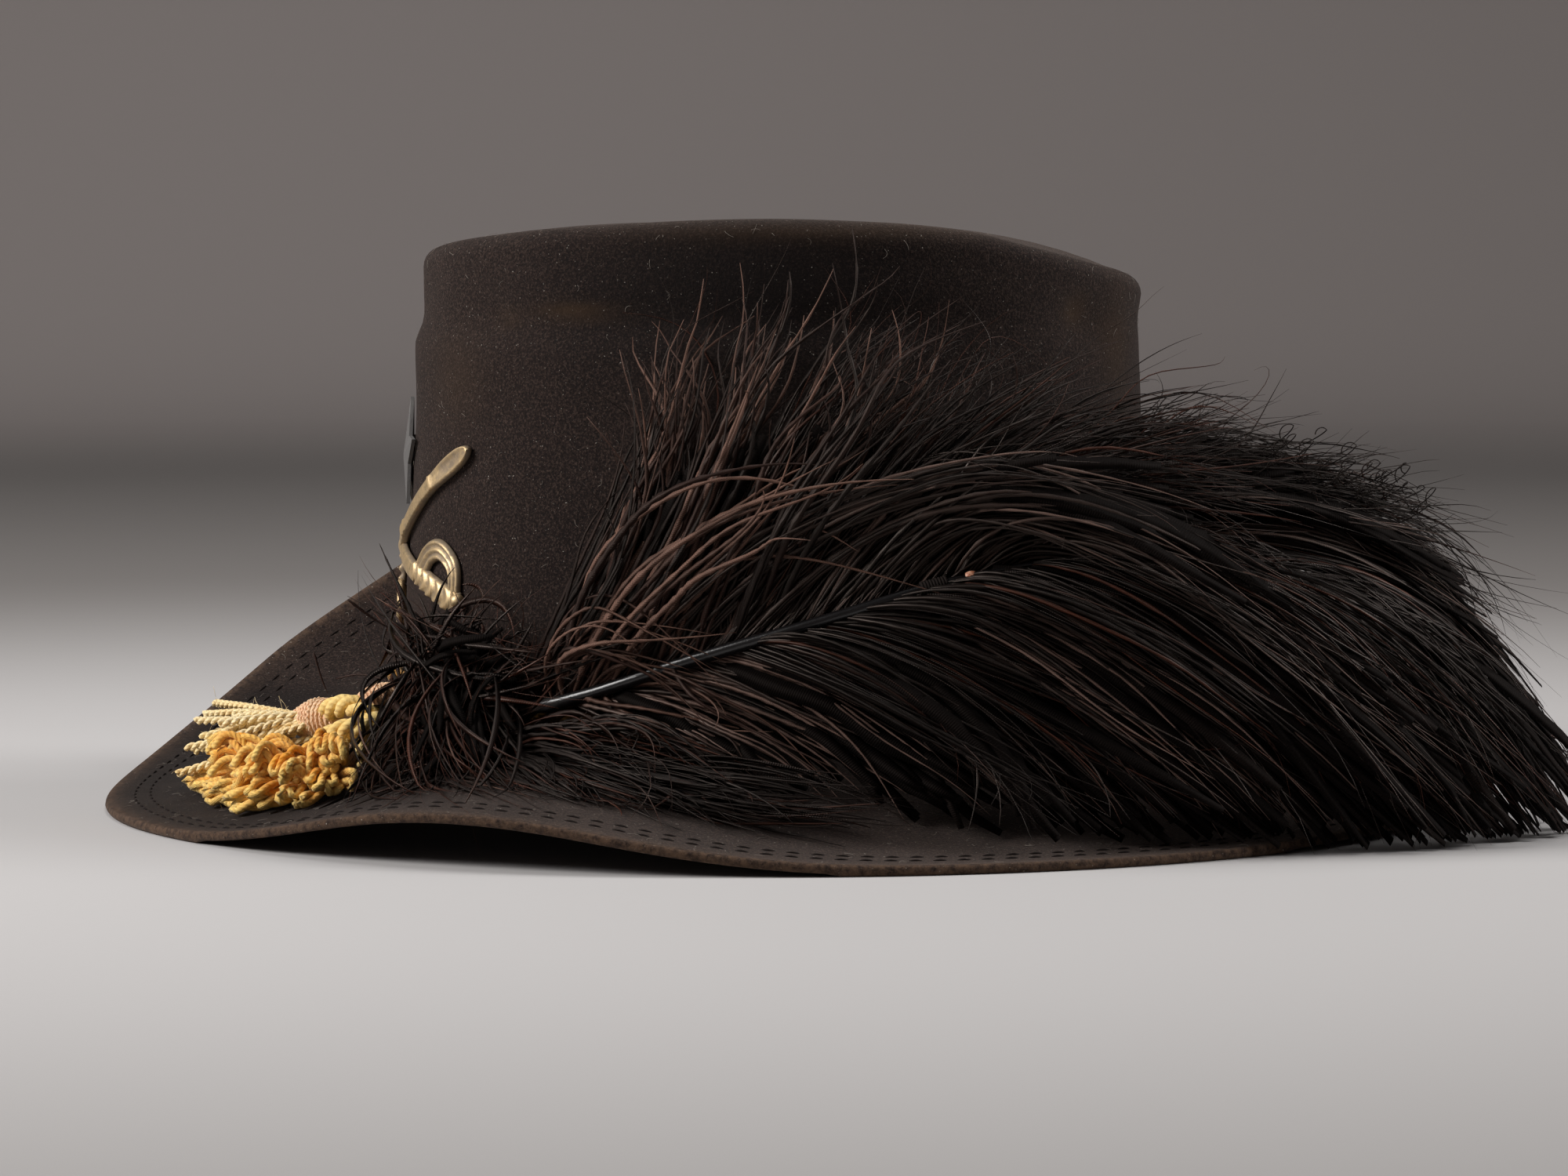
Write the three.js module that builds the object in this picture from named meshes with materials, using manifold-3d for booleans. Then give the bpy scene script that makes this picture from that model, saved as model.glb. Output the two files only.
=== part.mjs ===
// Tall felt dress hat of the hardee kind: one felt body, a worsted hat cord with two
// tassels, stamped crown ornaments and an ostrich plume on the wearer's left.
// Millimetres, +Z up. The front of the hat is -X and the wearer's left is -Y.
// An angle named at goes round the crown in degrees: 0 front, 90 left, 180 back, 270 right.
import * as THREE from "three";
import { mergeVertices } from "three/addons/utils/BufferGeometryUtils.js";
import Module from "manifold-3d";

const wasm = await Module();
wasm.setup();

// Felt body
const crownLength = 205; // outside, front to back, where the crown meets the brim
const crownWidth = 168; // outside, side to side, at the same height
const crownHeight = 135.4; // from the brim to the highest point of the crown's rim
const topSag = 1.6; // how far the middle of the crown's top lies under that point
const brimWidth = 82.5;
const seamHeight = 26; // how high the crown's foot stands over the surface
const feltThickness = 2.3;
const rimRadius = 5.5; // rounding of the crown's top edge
const footRadius = 3.6; // rounding where the crown turns out into the brim
const pressedFlat = 0.6; // felt this close to the surface lies flat on it
const aroundSteps = 48; // sections round the felt body

// Hat cord and tassels
const cordDiameter = 4.8;
const cordSides = 6;
const slideLength = 15;
const slideDiameter = 11;
const tasselHeadLength = 15;
const tasselHeadDiameter = 11;
const upperLockDiameter = 4.6;
const lowerLockDiameter = 6.4;

// Crown ornaments
const sabreWidth = 4.8; // scabbard, before its drag
const sabreThickness = 2.2;
const gripWidth = 6.4;
const bowWidth = 3.6;
const crossingHeight = 70; // where the sabres cross, over the surface
const badgeHalfWidth = 52; // along the crown's wall
const badgeRise = 30; // from the crossing to the scabbards' tips
const ringDiameter = 12;
const ringWire = 2.2;
const starHeight = 29;
const starFoot = 83; // lowest point of the star, over the surface
const starThickness = 2.4;

// Plume
const quillDiameter = 3;
const spineDiameter = 3.4; // what the barbs of a feather stand on, behind the quill
const lockBreadth = 19; // broadest part of a lock of barbs
const lockDepth = 2.6;
const tuftBreadth = 9;
const tieDiameter = 4.6;
const tieLength = 7;
const tieShare = 0.83; // how far along the quill the tie lies

// Clip that holds the looped-up side
const clipWidth = 14;
const clipThickness = 1;
const clipAt = 270;
const clipShare = 0.86; // how far down the brim's section its legs reach

const clearance = 0.3; // gap between pieces that touch
const metalSeat = 0.6; // gap under bent metal, which follows the felt only roughly

// Crown wall, as shares: up of the crown's height, inset and lean of its half length.
// inset draws the wall in all round, lean moves the section towards the back.
const CROWN_SIDE = [
  { up: 0.0, inset: 0.0, lean: 0.0 },
  { up: 0.16, inset: 0.004, lean: 0.0 },
  { up: 0.42, inset: 0.017, lean: 0.003 },
  { up: 0.62, inset: 0.028, lean: 0.006 },
  { up: 0.74, inset: 0.029, lean: 0.003 },
  { up: 0.8, inset: 0.043, lean: 0.014 },
  { up: 0.86, inset: 0.038, lean: 0.018 },
  { up: 1.0, inset: 0.037, lean: 0.018 },
];

// How far the top's edge lies under its highest point, as a share of the crown's height.
const CROWN_TOP = [
  { at: 0, drop: 0.06 },
  { at: 32, drop: 0.036 },
  { at: 52, drop: 0.018 },
  { at: 88, drop: 0 },
  { at: 106, drop: 0.007 },
  { at: 120, drop: 0.022 },
  { at: 134, drop: 0.054 },
  { at: 157, drop: 0.095 },
  { at: 180, drop: 0.115 },
  { at: 204, drop: 0.1 },
  { at: 228, drop: 0.062 },
  { at: 270, drop: 0.012 },
  { at: 310, drop: 0.024 },
  { at: 332, drop: 0.042 },
];

// Soft dents in the crown wall: wide in degrees, tall as a share of the crown's height,
// deep in thicknesses of felt.
const DENTS = [
  { at: 147, up: 0.8, wide: 9, tall: 0.06, deep: 1.0 },
  { at: 66, up: 0.8, wide: 16, tall: 0.05, deep: 0.6 },
  { at: 38, up: 0.8, wide: 10, tall: 0.05, deep: 0.5 },
  { at: 112, up: 0.74, wide: 14, tall: 0.08, deep: 0.4 },
];

// Brim sections: reach and lift of the edge as shares of the brim's width, reach beyond the
// gap that the clip leaves, lift over the surface; root and edge are the slopes of the
// section at its two ends, in degrees.
const BRIM = [
  { at: 0, reach: 0.965, lift: 0.0, root: -20, edge: -8 },
  { at: 18, reach: 0.965, lift: 0.0, root: -20, edge: 0 },
  { at: 35, reach: 0.965, lift: 0.0, root: -20, edge: 0 },
  { at: 50, reach: 0.97, lift: 0.105, root: -13, edge: -8 },
  { at: 62, reach: 0.97, lift: 0.15, root: -10, edge: -8 },
  { at: 76, reach: 0.97, lift: 0.085, root: -14, edge: -7 },
  { at: 88, reach: 0.965, lift: 0.018, root: -18, edge: -3 },
  { at: 98, reach: 0.965, lift: 0.0, root: -20, edge: 1 },
  { at: 132, reach: 0.965, lift: 0.0, root: -20, edge: 1 },
  { at: 150, reach: 0.965, lift: 0.02, root: -19, edge: -2 },
  { at: 166, reach: 0.965, lift: 0.0, root: -20, edge: 1 },
  { at: 202, reach: 0.965, lift: 0.0, root: -20, edge: 1 },
  { at: 218, reach: 0.95, lift: 0.1, root: -16, edge: 10 },
  { at: 238, reach: 0.72, lift: 0.52, root: -12, edge: 55 },
  { at: 251, reach: 0.25, lift: 1.03, root: -10, edge: 84 },
  { at: 262, reach: 0, lift: 1.2, root: -10, edge: 98 },
  { at: 278, reach: 0, lift: 1.2, root: -10, edge: 98 },
  { at: 288, reach: 0.18, lift: 1.12, root: -10, edge: 88 },
  { at: 300, reach: 0.5, lift: 0.97, root: -11, edge: 66 },
  { at: 313, reach: 0.8, lift: 0.68, root: -13, edge: 44 },
  { at: 327, reach: 0.95, lift: 0.35, root: -16, edge: 26 },
  { at: 343, reach: 0.965, lift: 0.09, root: -20, edge: 8 },
];
const BRIM_PULL = 0.36; // length of a section's two handles, as a share of the brim's width
const BRIM_SHARES = [0.06, 0.2, 0.38, 0.56, 0.74, 0.9, 1];
const TOP_SHARES = [0, 0.4, 0.7, 0.9, 1];

const weldDistance = 0.002; // corners closer than this are one
const speckVolume = 0.1;

const rad = THREE.MathUtils.degToRad;

// A table of sections round the crown, with one more turn on both sides, so that it has no seam.
function wholeTurns(table) {
  const turned = (by) => table.map((row) => ({ ...row, at: row.at + by }));
  return [...turned(-360), ...table, ...turned(360)];
}

// One column of a table, straight between its rows.
function straightColumn(rows, key, column, place) {
  let low = 0;
  while (low < rows.length - 2 && rows[low + 1][key] <= place) low += 1;
  const share = (place - rows[low][key]) / (rows[low + 1][key] - rows[low][key]);
  const inside = THREE.MathUtils.clamp(share, 0, 1);
  return THREE.MathUtils.lerp(rows[low][column], rows[low + 1][column], inside);
}

// One column of a table, smooth between its rows and never past their values.
function smoothColumn(rows, key, column, place) {
  let low = 0;
  while (low < rows.length - 2 && rows[low + 1][key] <= place) low += 1;
  const rise = (n) => {
    if (n < 0 || n > rows.length - 2) return 0;
    return (rows[n + 1][column] - rows[n][column]) / (rows[n + 1][key] - rows[n][key]);
  };
  const slope = (n) => {
    const both = rise(n - 1) * rise(n);
    return both <= 0 ? 0 : (2 * both) / (rise(n - 1) + rise(n));
  };
  const span = rows[low + 1][key] - rows[low][key];
  const s = THREE.MathUtils.clamp((place - rows[low][key]) / span, 0, 1);
  const blend = s * s * (3 - 2 * s);
  const start = s * (1 - s) * (1 - s) * span * slope(low);
  const end = s * s * (s - 1) * span * slope(low + 1);
  return THREE.MathUtils.lerp(rows[low][column], rows[low + 1][column], blend) + start + end;
}

const crownTop = wholeTurns(CROWN_TOP);
const brim = wholeTurns(BRIM);

// Level direction away from the crown.
function outwardAt(at) {
  const x = -Math.cos(rad(at)) / crownLength;
  const y = -Math.sin(rad(at)) / crownWidth;
  return new THREE.Vector3(x, y, 0).normalize();
}

function dentDepth(at, up) {
  let depth = 0;
  for (const dent of DENTS) {
    const across = (at - dent.at) / dent.wide;
    const upright = (up - dent.up) / dent.tall;
    depth += dent.deep * feltThickness * Math.exp(-across * across - upright * upright);
  }
  return depth;
}

// A point beside the crown: height over the surface, out from the outside of the wall.
function besideCrown(at, height, out) {
  const up = THREE.MathUtils.clamp((height - seamHeight) / crownHeight, 0, 1);
  const inset = (straightColumn(CROWN_SIDE, "up", "inset", up) * crownLength) / 2;
  const lean = (straightColumn(CROWN_SIDE, "up", "lean", up) * crownLength) / 2;
  const point = new THREE.Vector3(
    lean - (crownLength / 2 - inset) * Math.cos(rad(at)),
    -(crownWidth / 2 - inset) * Math.sin(rad(at)),
    height,
  );
  return point.addScaledVector(outwardAt(at), out - dentDepth(at, up));
}

// The brim's upper side at a share of its section, as out and height beside the crown.
function brimSection(at, share) {
  const value = (column) => smoothColumn(brim, "at", column, at);
  const pull = BRIM_PULL * brimWidth;
  const root = rad(value("root"));
  const edge = rad(value("edge"));
  const start = new THREE.Vector2(0, seamHeight);
  const end = new THREE.Vector2(value("reach"), value("lift")).multiplyScalar(brimWidth);
  end.x += clipThickness + 2 * metalSeat;
  end.y += feltThickness;
  const curve = new THREE.CubicBezierCurve(
    start,
    new THREE.Vector2(pull * Math.cos(root), seamHeight + pull * Math.sin(root)),
    new THREE.Vector2(end.x - pull * Math.cos(edge), end.y - pull * Math.sin(edge)),
    end,
  );
  return curve.getPoint(share);
}

function brimPoint(at, share) {
  const section = brimSection(at, share);
  return besideCrown(at, Math.max(section.y, feltThickness), section.x);
}

// The felt's outside in one upright section, from the middle of the top to the brim's edge.
function outsideLine(at) {
  const highest = seamHeight + crownHeight;
  const drop = smoothColumn(crownTop, "at", "drop", at) * crownHeight;
  const shoulder = highest - drop - rimRadius;
  const middle = new THREE.Vector3(
    (CROWN_SIDE.at(-1).lean * crownLength) / 2,
    0,
    highest - topSag,
  );
  const line = [];
  for (const share of TOP_SHARES) {
    const point = besideCrown(at, shoulder, -rimRadius);
    point.lerp(middle, 1 - share);
    point.z = highest - topSag * (1 - share ** 2) - drop * share ** 3;
    line.push(point);
  }
  for (const turn of [rad(45), rad(90)]) {
    const out = rimRadius * (Math.sin(turn) - 1);
    const point = besideCrown(at, shoulder, out);
    point.z = shoulder + rimRadius * Math.cos(turn);
    line.push(point);
  }
  const sides = CROWN_SIDE.slice(1, -2).reverse();
  for (const { up } of sides) line.push(besideCrown(at, seamHeight + up * crownHeight, 0));
  line.push(besideCrown(at, seamHeight + footRadius, 0));
  line.push(besideCrown(at, seamHeight + footRadius * 0.3, footRadius * 0.3));
  for (const share of BRIM_SHARES) line.push(brimPoint(at, share));
  return line;
}

// Outward normal at a corner of a grid of upright lines that closes round the crown.
function gridNormal(lines, line, row) {
  if (row === 0) return new THREE.Vector3(0, 0, 1);
  const count = lines.length;
  const rows = lines[line];
  const before = lines[(line + count - 1) % count][row];
  const after = lines[(line + 1) % count][row];
  const upper = rows[row - 1];
  const lower = rows[Math.min(row + 1, rows.length - 1)];
  const round = after.clone().sub(before);
  return lower.clone().sub(upper).cross(round).normalize();
}

// A closed body from points and faces: joins equal points, drops flat faces, faces outwards.
function bodyOf(points, faces) {
  const raw = new THREE.BufferGeometry().setFromPoints(points);
  raw.setIndex(faces.flat());
  const merged = mergeVertices(raw, weldDistance);
  const index = merged.index.array;
  const kept = [];
  for (let i = 0; i < index.length; i += 3) {
    const [a, b, c] = [index[i], index[i + 1], index[i + 2]];
    if (a !== b && b !== c && c !== a) kept.push(a, b, c);
  }
  merged.setIndex(kept);
  if (volumeOf(merged) < 0) {
    const turned = [];
    for (let i = 0; i < kept.length; i += 3) turned.push(kept[i], kept[i + 2], kept[i + 1]);
    merged.setIndex(turned);
  }
  return merged;
}

function volumeOf(geometry) {
  const at = (i) => new THREE.Vector3().fromBufferAttribute(geometry.attributes.position, i);
  const index = geometry.index.array;
  let volume = 0;
  for (let i = 0; i < index.length; i += 3) {
    volume += at(index[i]).dot(at(index[i + 1]).cross(at(index[i + 2]))) / 6;
  }
  return volume;
}

// A body bent by moving each of its corners.
function bent(geometry, move) {
  const corners = geometry.attributes.position;
  const points = [];
  for (let i = 0; i < corners.count; i += 1) {
    points.push(move(new THREE.Vector3().fromBufferAttribute(corners, i)));
  }
  const index = geometry.index ? Array.from(geometry.index.array) : points.map((_, i) => i);
  return bodyOf(points, [index]);
}

// A skin over closed sections that all have the same number of points.
function skinOver(sections, looped) {
  const count = sections[0].length;
  const faces = [];
  const spans = looped ? sections.length : sections.length - 1;
  for (let i = 0; i < spans; i += 1) {
    const a = i * count;
    const b = ((i + 1) % sections.length) * count;
    for (let j = 0; j < count; j += 1) {
      const k = (j + 1) % count;
      faces.push([a + j, b + j, b + k], [a + j, b + k, a + k]);
    }
  }
  const end = (sections.length - 1) * count;
  for (let j = 1; !looped && j < count - 1; j += 1) {
    faces.push([0, j, j + 1], [end, end + j + 1, end + j]);
  }
  return bodyOf(sections.flat(), faces);
}

// Felt body: crown and brim in one shell, pressed flat where it lies on the surface.
function feltBody() {
  const lines = [];
  for (let i = 0; i < aroundSteps; i += 1) lines.push(outsideLine((360 * i) / aroundSteps));
  const sections = lines.map((line, i) => {
    const inside = line.map((point, row) => {
      const normal = gridNormal(lines, i, row);
      const under = point.clone().addScaledVector(normal, -feltThickness);
      if (under.z < pressedFlat) under.z = 0;
      return under;
    });
    return [...line, ...inside.reverse()];
  });
  return skinOver(sections, true);
}

// Height of the brim's upper side at a distance out from the crown, or null past its edge.
function brimTop(at, out) {
  let inner = brimSection(at, 0);
  for (const share of BRIM_SHARES) {
    const outer = brimSection(at, share);
    if (outer.x >= out) {
      const along = (out - inner.x) / (outer.x - inner.x);
      return Math.max(THREE.MathUtils.lerp(inner.y, outer.y, along), feltThickness);
    }
    inner = outer;
  }
  return null;
}

// Places beside the crown are vectors of at in degrees, height over the surface, and out.
const place = (at, height, out) => new THREE.Vector3(at, height, out);
const pointAt = (spot) => besideCrown(spot.x, spot.y, spot.z);
const onBrim = (at, out, above) => place(at, brimTop(at, out) + above, out);

// Keeps a place clear of the crown by its half depth, and of the brim and the surface by
// the half height of what lies there.
function keepClear(spot, halfDepth, halfHeight) {
  const free = spot.clone();
  free.z = Math.max(free.z, halfDepth + clearance);
  const under = brimTop(free.x, free.z);
  const floor = under === null ? clearance : under + clearance;
  free.y = Math.max(free.y, floor + halfHeight);
  return free;
}

// A strand along a curve of places: breadth lies along the crown's wall, depth stands out
// from it, and shape gives both as a share at each part of the way.
function strand(spots, { breadth, depth, steps, sides, shape }) {
  const curve = new THREE.CatmullRomCurve3(spots, false, "centripetal");
  const sections = [];
  for (let i = 0; i <= steps; i += 1) {
    const share = i / steps;
    const size = shape(share);
    const broad = (breadth / 2) * size;
    const deep = (depth / 2) * size;
    const middle = curve.getPoint(share);
    const radius = (crownLength + crownWidth) / 4 + middle.z;
    const ahead = curve.getTangent(share);
    const across = new THREE.Vector2(-ahead.y, rad(ahead.x) * radius).normalize();
    const centre = keepClear(middle, deep, Math.max(deep, broad * Math.abs(across.y)));
    const section = [];
    for (let j = 0; j < sides; j += 1) {
      const turn = (2 * Math.PI * (j + 0.5)) / sides;
      const side = broad * Math.cos(turn);
      const corner = place(
        centre.x + THREE.MathUtils.radToDeg((across.x * side) / radius),
        centre.y + across.y * side,
        centre.z + deep * Math.sin(turn),
      );
      section.push(pointAt(corner));
    }
    sections.push(section);
  }
  return skinOver(sections, false);
}

const even = () => 1;
const barrel = (share) => 0.45 + 0.55 * Math.sin(Math.PI * share);
const pointed = (share) => (share === 1 ? 0 : 0.35 + 0.65 * Math.sin(Math.PI * (0.15 + 0.75 * share)));
const blunt = (share) => (share === 1 ? 0.55 : 0.7 + 0.3 * Math.sin(Math.PI * share));

function solidOf(geometry) {
  const merged = mergeVertices(geometry, weldDistance / 10);
  return new wasm.Manifold(
    new wasm.Mesh({
      numProp: 3,
      vertProperties: merged.attributes.position.array,
      triVerts: new Uint32Array(merged.index.array),
    }),
  );
}

function geometryOf(solid) {
  const mesh = solid.getMesh();
  const geometry = new THREE.BufferGeometry();
  geometry.setAttribute("position", new THREE.BufferAttribute(mesh.vertProperties, 3));
  geometry.setIndex(new THREE.BufferAttribute(mesh.triVerts, 1));
  return geometry;
}

// Pieces joined into one closed body, with what the cutters take away. Pockets that the
// joined pieces close in between them are filled, and specks left by the cuts are dropped.
function fused(pieces, cutters = []) {
  let solid = solidOf(pieces[0]);
  for (const piece of pieces.slice(1)) solid = solid.add(solidOf(piece));
  for (const cutter of cutters) solid = solid.subtract(solidOf(cutter));
  const welded = bent(geometryOf(solid), (corner) => corner);
  const outsides = solidOf(welded)
    .decompose()
    .filter((body) => body.volume() > speckVolume);
  return geometryOf(wasm.Manifold.compose(outsides));
}

// Hat cord: two strands that lie round the crown's foot, one over the other.
function cordRing(turnsUp) {
  const radius = cordDiameter / 2;
  const lowest = seamHeight + radius + footRadius * 0.3 + clearance;
  const height = lowest + turnsUp * (cordDiameter + clearance);
  const sections = [];
  for (let i = 0; i < aroundSteps; i += 1) {
    const at = (360 * i) / aroundSteps;
    const section = [];
    for (let j = 0; j < cordSides; j += 1) {
      const turn = (2 * Math.PI * j) / cordSides;
      const out = radius + clearance + radius * Math.cos(turn);
      section.push(besideCrown(at, height + radius * Math.sin(turn), out));
    }
    sections.push(section);
  }
  return skinOver(sections, true);
}

// The cord's ends leave the ring through a slide, whose stem starts at the lower strand.
// Here out and above the brim are shares of the brim's width.
const SLIDE_PATH = [
  { at: 41, out: 0.092, above: 0.063 },
  { at: 37, out: 0.170, above: 0.085 },
  { at: 33.5, out: 0.242, above: 0.103 },
];
const SLIDE = { at: 31.5, out: 0.303, above: 0.115 };
const UPPER_TASSEL = { at: 22, out: 0.339, above: 0.145 };
const LOWER_TASSEL = { at: 34, out: 0.497, above: 0.070 };

// Tips of the locks of both tassels, over the brim.
const UPPER_TIPS = [
  { at: 17, out: 0.606, above: 0.182 },
  { at: 13, out: 0.655, above: 0.212 },
  { at: 9, out: 0.679, above: 0.182 },
  { at: 5, out: 0.630, above: 0.218 },
  { at: 12, out: 0.703, above: 0.152 },
];
const LOWER_TIPS = [
  { at: 8, out: 0.727, above: 0.061 },
  { at: 14, out: 0.752, above: 0.029 },
  { at: 20, out: 0.764, above: 0.056 },
  { at: 25, out: 0.776, above: 0.029 },
  { at: 30, out: 0.764, above: 0.053 },
  { at: 35, out: 0.727, above: 0.029 },
  { at: 39, out: 0.655, above: 0.048 },
  { at: 41, out: 0.558, above: 0.029 },
];

const spotOf = (row) => onBrim(row.at, row.out * brimWidth, row.above * brimWidth);

function cordSlide() {
  const stem = [...SLIDE_PATH, SLIDE].map(spotOf);
  const cord = { breadth: cordDiameter, depth: cordDiameter, steps: 6, sides: 6, shape: even };
  const half = THREE.MathUtils.radToDeg(slideLength / 2 / crownWidth);
  const middle = spotOf(SLIDE);
  const ends = [middle.clone(), middle.clone(), middle.clone()];
  ends[0].x += half;
  ends[2].x -= half;
  ends[0].z -= slideLength / 4;
  ends[2].z += slideLength / 4;
  const knot = { breadth: slideDiameter, depth: slideDiameter, steps: 4, sides: 8, shape: barrel };
  return fused([strand(stem, cord), strand(ends, knot)]);
}

function tassel(head, tips, lockDiameter, slideHalf) {
  const middle = spotOf(head);
  const start = middle.clone();
  start.z -= tasselHeadLength / 2;
  const end = middle.clone();
  end.z += tasselHeadLength / 2;
  const wide = tasselHeadDiameter;
  const knot = { breadth: wide, depth: wide, steps: 4, sides: 8, shape: barrel };
  const lock = { breadth: lockDiameter, depth: lockDiameter, steps: 3, sides: 5, shape: blunt };
  const locks = tips.map((tip) => {
    const bend = middle.clone().lerp(spotOf(tip), 0.5);
    bend.y += lockDiameter * 0.3;
    return strand([middle, bend, spotOf(tip)], lock);
  });
  return fused([strand([start, middle, end], knot), neck(middle, slideHalf), ...locks]);
}

// The cord's end that runs from a tassel's head up to the side of the slide.
function neck(head, slideHalf) {
  const slide = spotOf(SLIDE);
  const middle = head.clone().lerp(slide, 0.5);
  const length = pointAt(head).distanceTo(pointAt(slide));
  const end = head.clone().lerp(slide, 1 - (slideHalf + clearance) / length);
  const cord = { breadth: cordDiameter, depth: cordDiameter, steps: 2, sides: 6, shape: even };
  return strand([head, middle, end], cord);
}

// Stamped metal on the crown's front: along the wall from the middle of the front, up over
// the surface, and raised from the wall.
function onCrownFront(along, height, raised) {
  const at = THREE.MathUtils.radToDeg(along / (crownWidth / 2));
  return besideCrown(at, height, metalSeat + raised);
}

// A stamped bar along a flat curve, domed across; widths follow its shape.
function stampedBar(points, width, thickness, steps, shape, side) {
  const curve = new THREE.SplineCurve(points);
  const sections = [];
  for (let i = 0; i <= steps; i += 1) {
    const share = i / steps;
    const middle = curve.getPoint(share);
    const ahead = curve.getTangent(share);
    const half = (width / 2) * shape(share);
    const profile = [
      [-half, 0],
      [-half, thickness * 0.5],
      [-half * 0.45, thickness],
      [half * 0.45, thickness],
      [half, thickness * 0.5],
      [half, 0],
    ];
    sections.push(
      profile.map(([across, raised]) => {
        const along = middle.x - ahead.y * across;
        return onCrownFront(side * along, middle.y + ahead.x * across, raised);
      }),
    );
  }
  return skinOver(sections, false);
}

// One sabre in its scabbard, as shares of its size: along from the crossing, up over it.
const SABRE = [
  { along: 1.02, up: 1.0 },
  { along: 0.68, up: 0.66 },
  { along: 0.33, up: 0.3 },
  { along: 0.02, up: 0.06 },
  { along: -0.32, up: -0.08 },
  { along: -0.52, up: -0.17 },
];
const GRIP = [
  { along: -0.5, up: -0.14 },
  { along: -0.72, up: -0.26 },
  { along: -0.96, up: -0.4 },
];
const BOW = [
  { along: -0.5, up: -0.02 },
  { along: -0.6, up: 0.14 },
  { along: -0.8, up: 0.17 },
  { along: -1.0, up: -0.06 },
  { along: -0.98, up: -0.34 },
];

const flatPoints = (rows) =>
  rows.map(
    (row) => new THREE.Vector2(row.along * badgeHalfWidth, crossingHeight + row.up * badgeRise),
  );
const scabbardShape = (share) => (share < 0.2 ? 1.25 - 2 * Math.abs(share - 0.08) : 1);
const gripShape = (share) => (share > 0.8 ? 1.15 : 0.9);

function crossedSabres() {
  const parts = [];
  for (const side of [1, -1]) {
    const bar = (rows, width, steps, shape) =>
      stampedBar(flatPoints(rows), width, sabreThickness, steps, shape, side);
    parts.push(bar(SABRE, sabreWidth, 9, scabbardShape));
    parts.push(bar(GRIP, gripWidth, 3, gripShape));
    parts.push(bar(BOW, bowWidth, 6, even));
  }
  const centre = crossingHeight - badgeRise * 0.3 - ringDiameter / 2;
  const ring = bent(new THREE.TorusGeometry(ringDiameter / 2, ringWire / 2, 5, 12), (corner) =>
    onCrownFront(corner.x, centre + corner.y, corner.z + ringWire / 2),
  );
  const link = [
    new THREE.Vector2(0, crossingHeight + sabreWidth / 2),
    new THREE.Vector2(0, centre + ringDiameter / 2),
  ];
  parts.push(ring);
  parts.push(stampedBar(link, sabreWidth, sabreThickness * 0.8, 1, even, 1));
  return fused(parts);
}

// A plain five-pointed star with raised ridges, bent to the crown.
function crownStar() {
  const outer = starHeight / (1 + Math.cos(rad(36)));
  const inner = outer * 0.42;
  const centre = starFoot + outer * Math.cos(rad(36));
  const points = [onCrownFront(0, centre, 0), onCrownFront(0, centre, starThickness)];
  const faces = [];
  for (let i = 0; i < 10; i += 1) {
    const radius = i % 2 === 0 ? outer : inner;
    const along = radius * Math.sin(rad(36 * i));
    const height = centre + radius * Math.cos(rad(36 * i));
    points.push(onCrownFront(along, height, 0));
    points.push(onCrownFront(along, height, starThickness * 0.4));
    const here = 2 + 2 * i;
    const next = 2 + 2 * ((i + 1) % 10);
    faces.push([0, here, next], [1, next + 1, here + 1]);
    faces.push([here, here + 1, next + 1], [here, next + 1, next]);
  }
  return bodyOf(points, faces);
}

// Plume. The main quill runs from the tuft to its drooping end; up is a share of the hat's
// height and out a share of the brim's width, from the crown's wall.
const QUILL = [
  { at: 43, up: 0.265, out: 0.02 },
  { at: 48, up: 0.235, out: 0.11 },
  { at: 56, up: 0.212, out: 0.18 },
  { at: 66, up: 0.239, out: 0.22 },
  { at: 80, up: 0.3, out: 0.27 },
  { at: 94, up: 0.359, out: 0.34 },
  { at: 111, up: 0.433, out: 0.45 },
  { at: 122, up: 0.461, out: 0.54 },
  { at: 132, up: 0.449, out: 0.64 },
  { at: 141, up: 0.37, out: 0.78 },
];
const REAR_SPINE = [
  { at: 60, up: 0.3, out: 0.026 },
  { at: 90, up: 0.42, out: 0.026 },
  { at: 112, up: 0.52, out: 0.034 },
  { at: 132, up: 0.51, out: 0.2 },
  { at: 142, up: 0.46, out: 0.34 },
];
const UNDER_SPINE = [
  { at: 50, up: 0.12, out: 0.27 },
  { at: 58, up: 0.12, out: 0.3 },
  { at: 68, up: 0.12, out: 0.33 },
];

// Locks of barbs: from is the share of the way along the spine where one stands, then the
// middle and the tip of the lock. A loop fills in the locks between the rows.
const UPPER_BARBS = [
  { from: 0.03, midAt: 64, midUp: 0.446, midOut: 0.19, tipAt: 68, tipUp: 0.733, tipOut: 0.06 },
  { from: 0.21, midAt: 81, midUp: 0.576, midOut: 0.24, tipAt: 89, tipUp: 0.888, tipOut: 0.07 },
  { from: 0.4, midAt: 98, midUp: 0.578, midOut: 0.31, tipAt: 112, tipUp: 0.8, tipOut: 0.24 },
  { from: 0.54, midAt: 116, midUp: 0.59, midOut: 0.43, tipAt: 138, tipUp: 0.668, tipOut: 0.68 },
  { from: 0.65, midAt: 123, midUp: 0.565, midOut: 0.55, tipAt: 144, tipUp: 0.5, tipOut: 0.92 },
  { from: 0.8, midAt: 132, midUp: 0.443, midOut: 0.78, tipAt: 146, tipUp: 0.155, tipOut: 1.16 },
];
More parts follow.
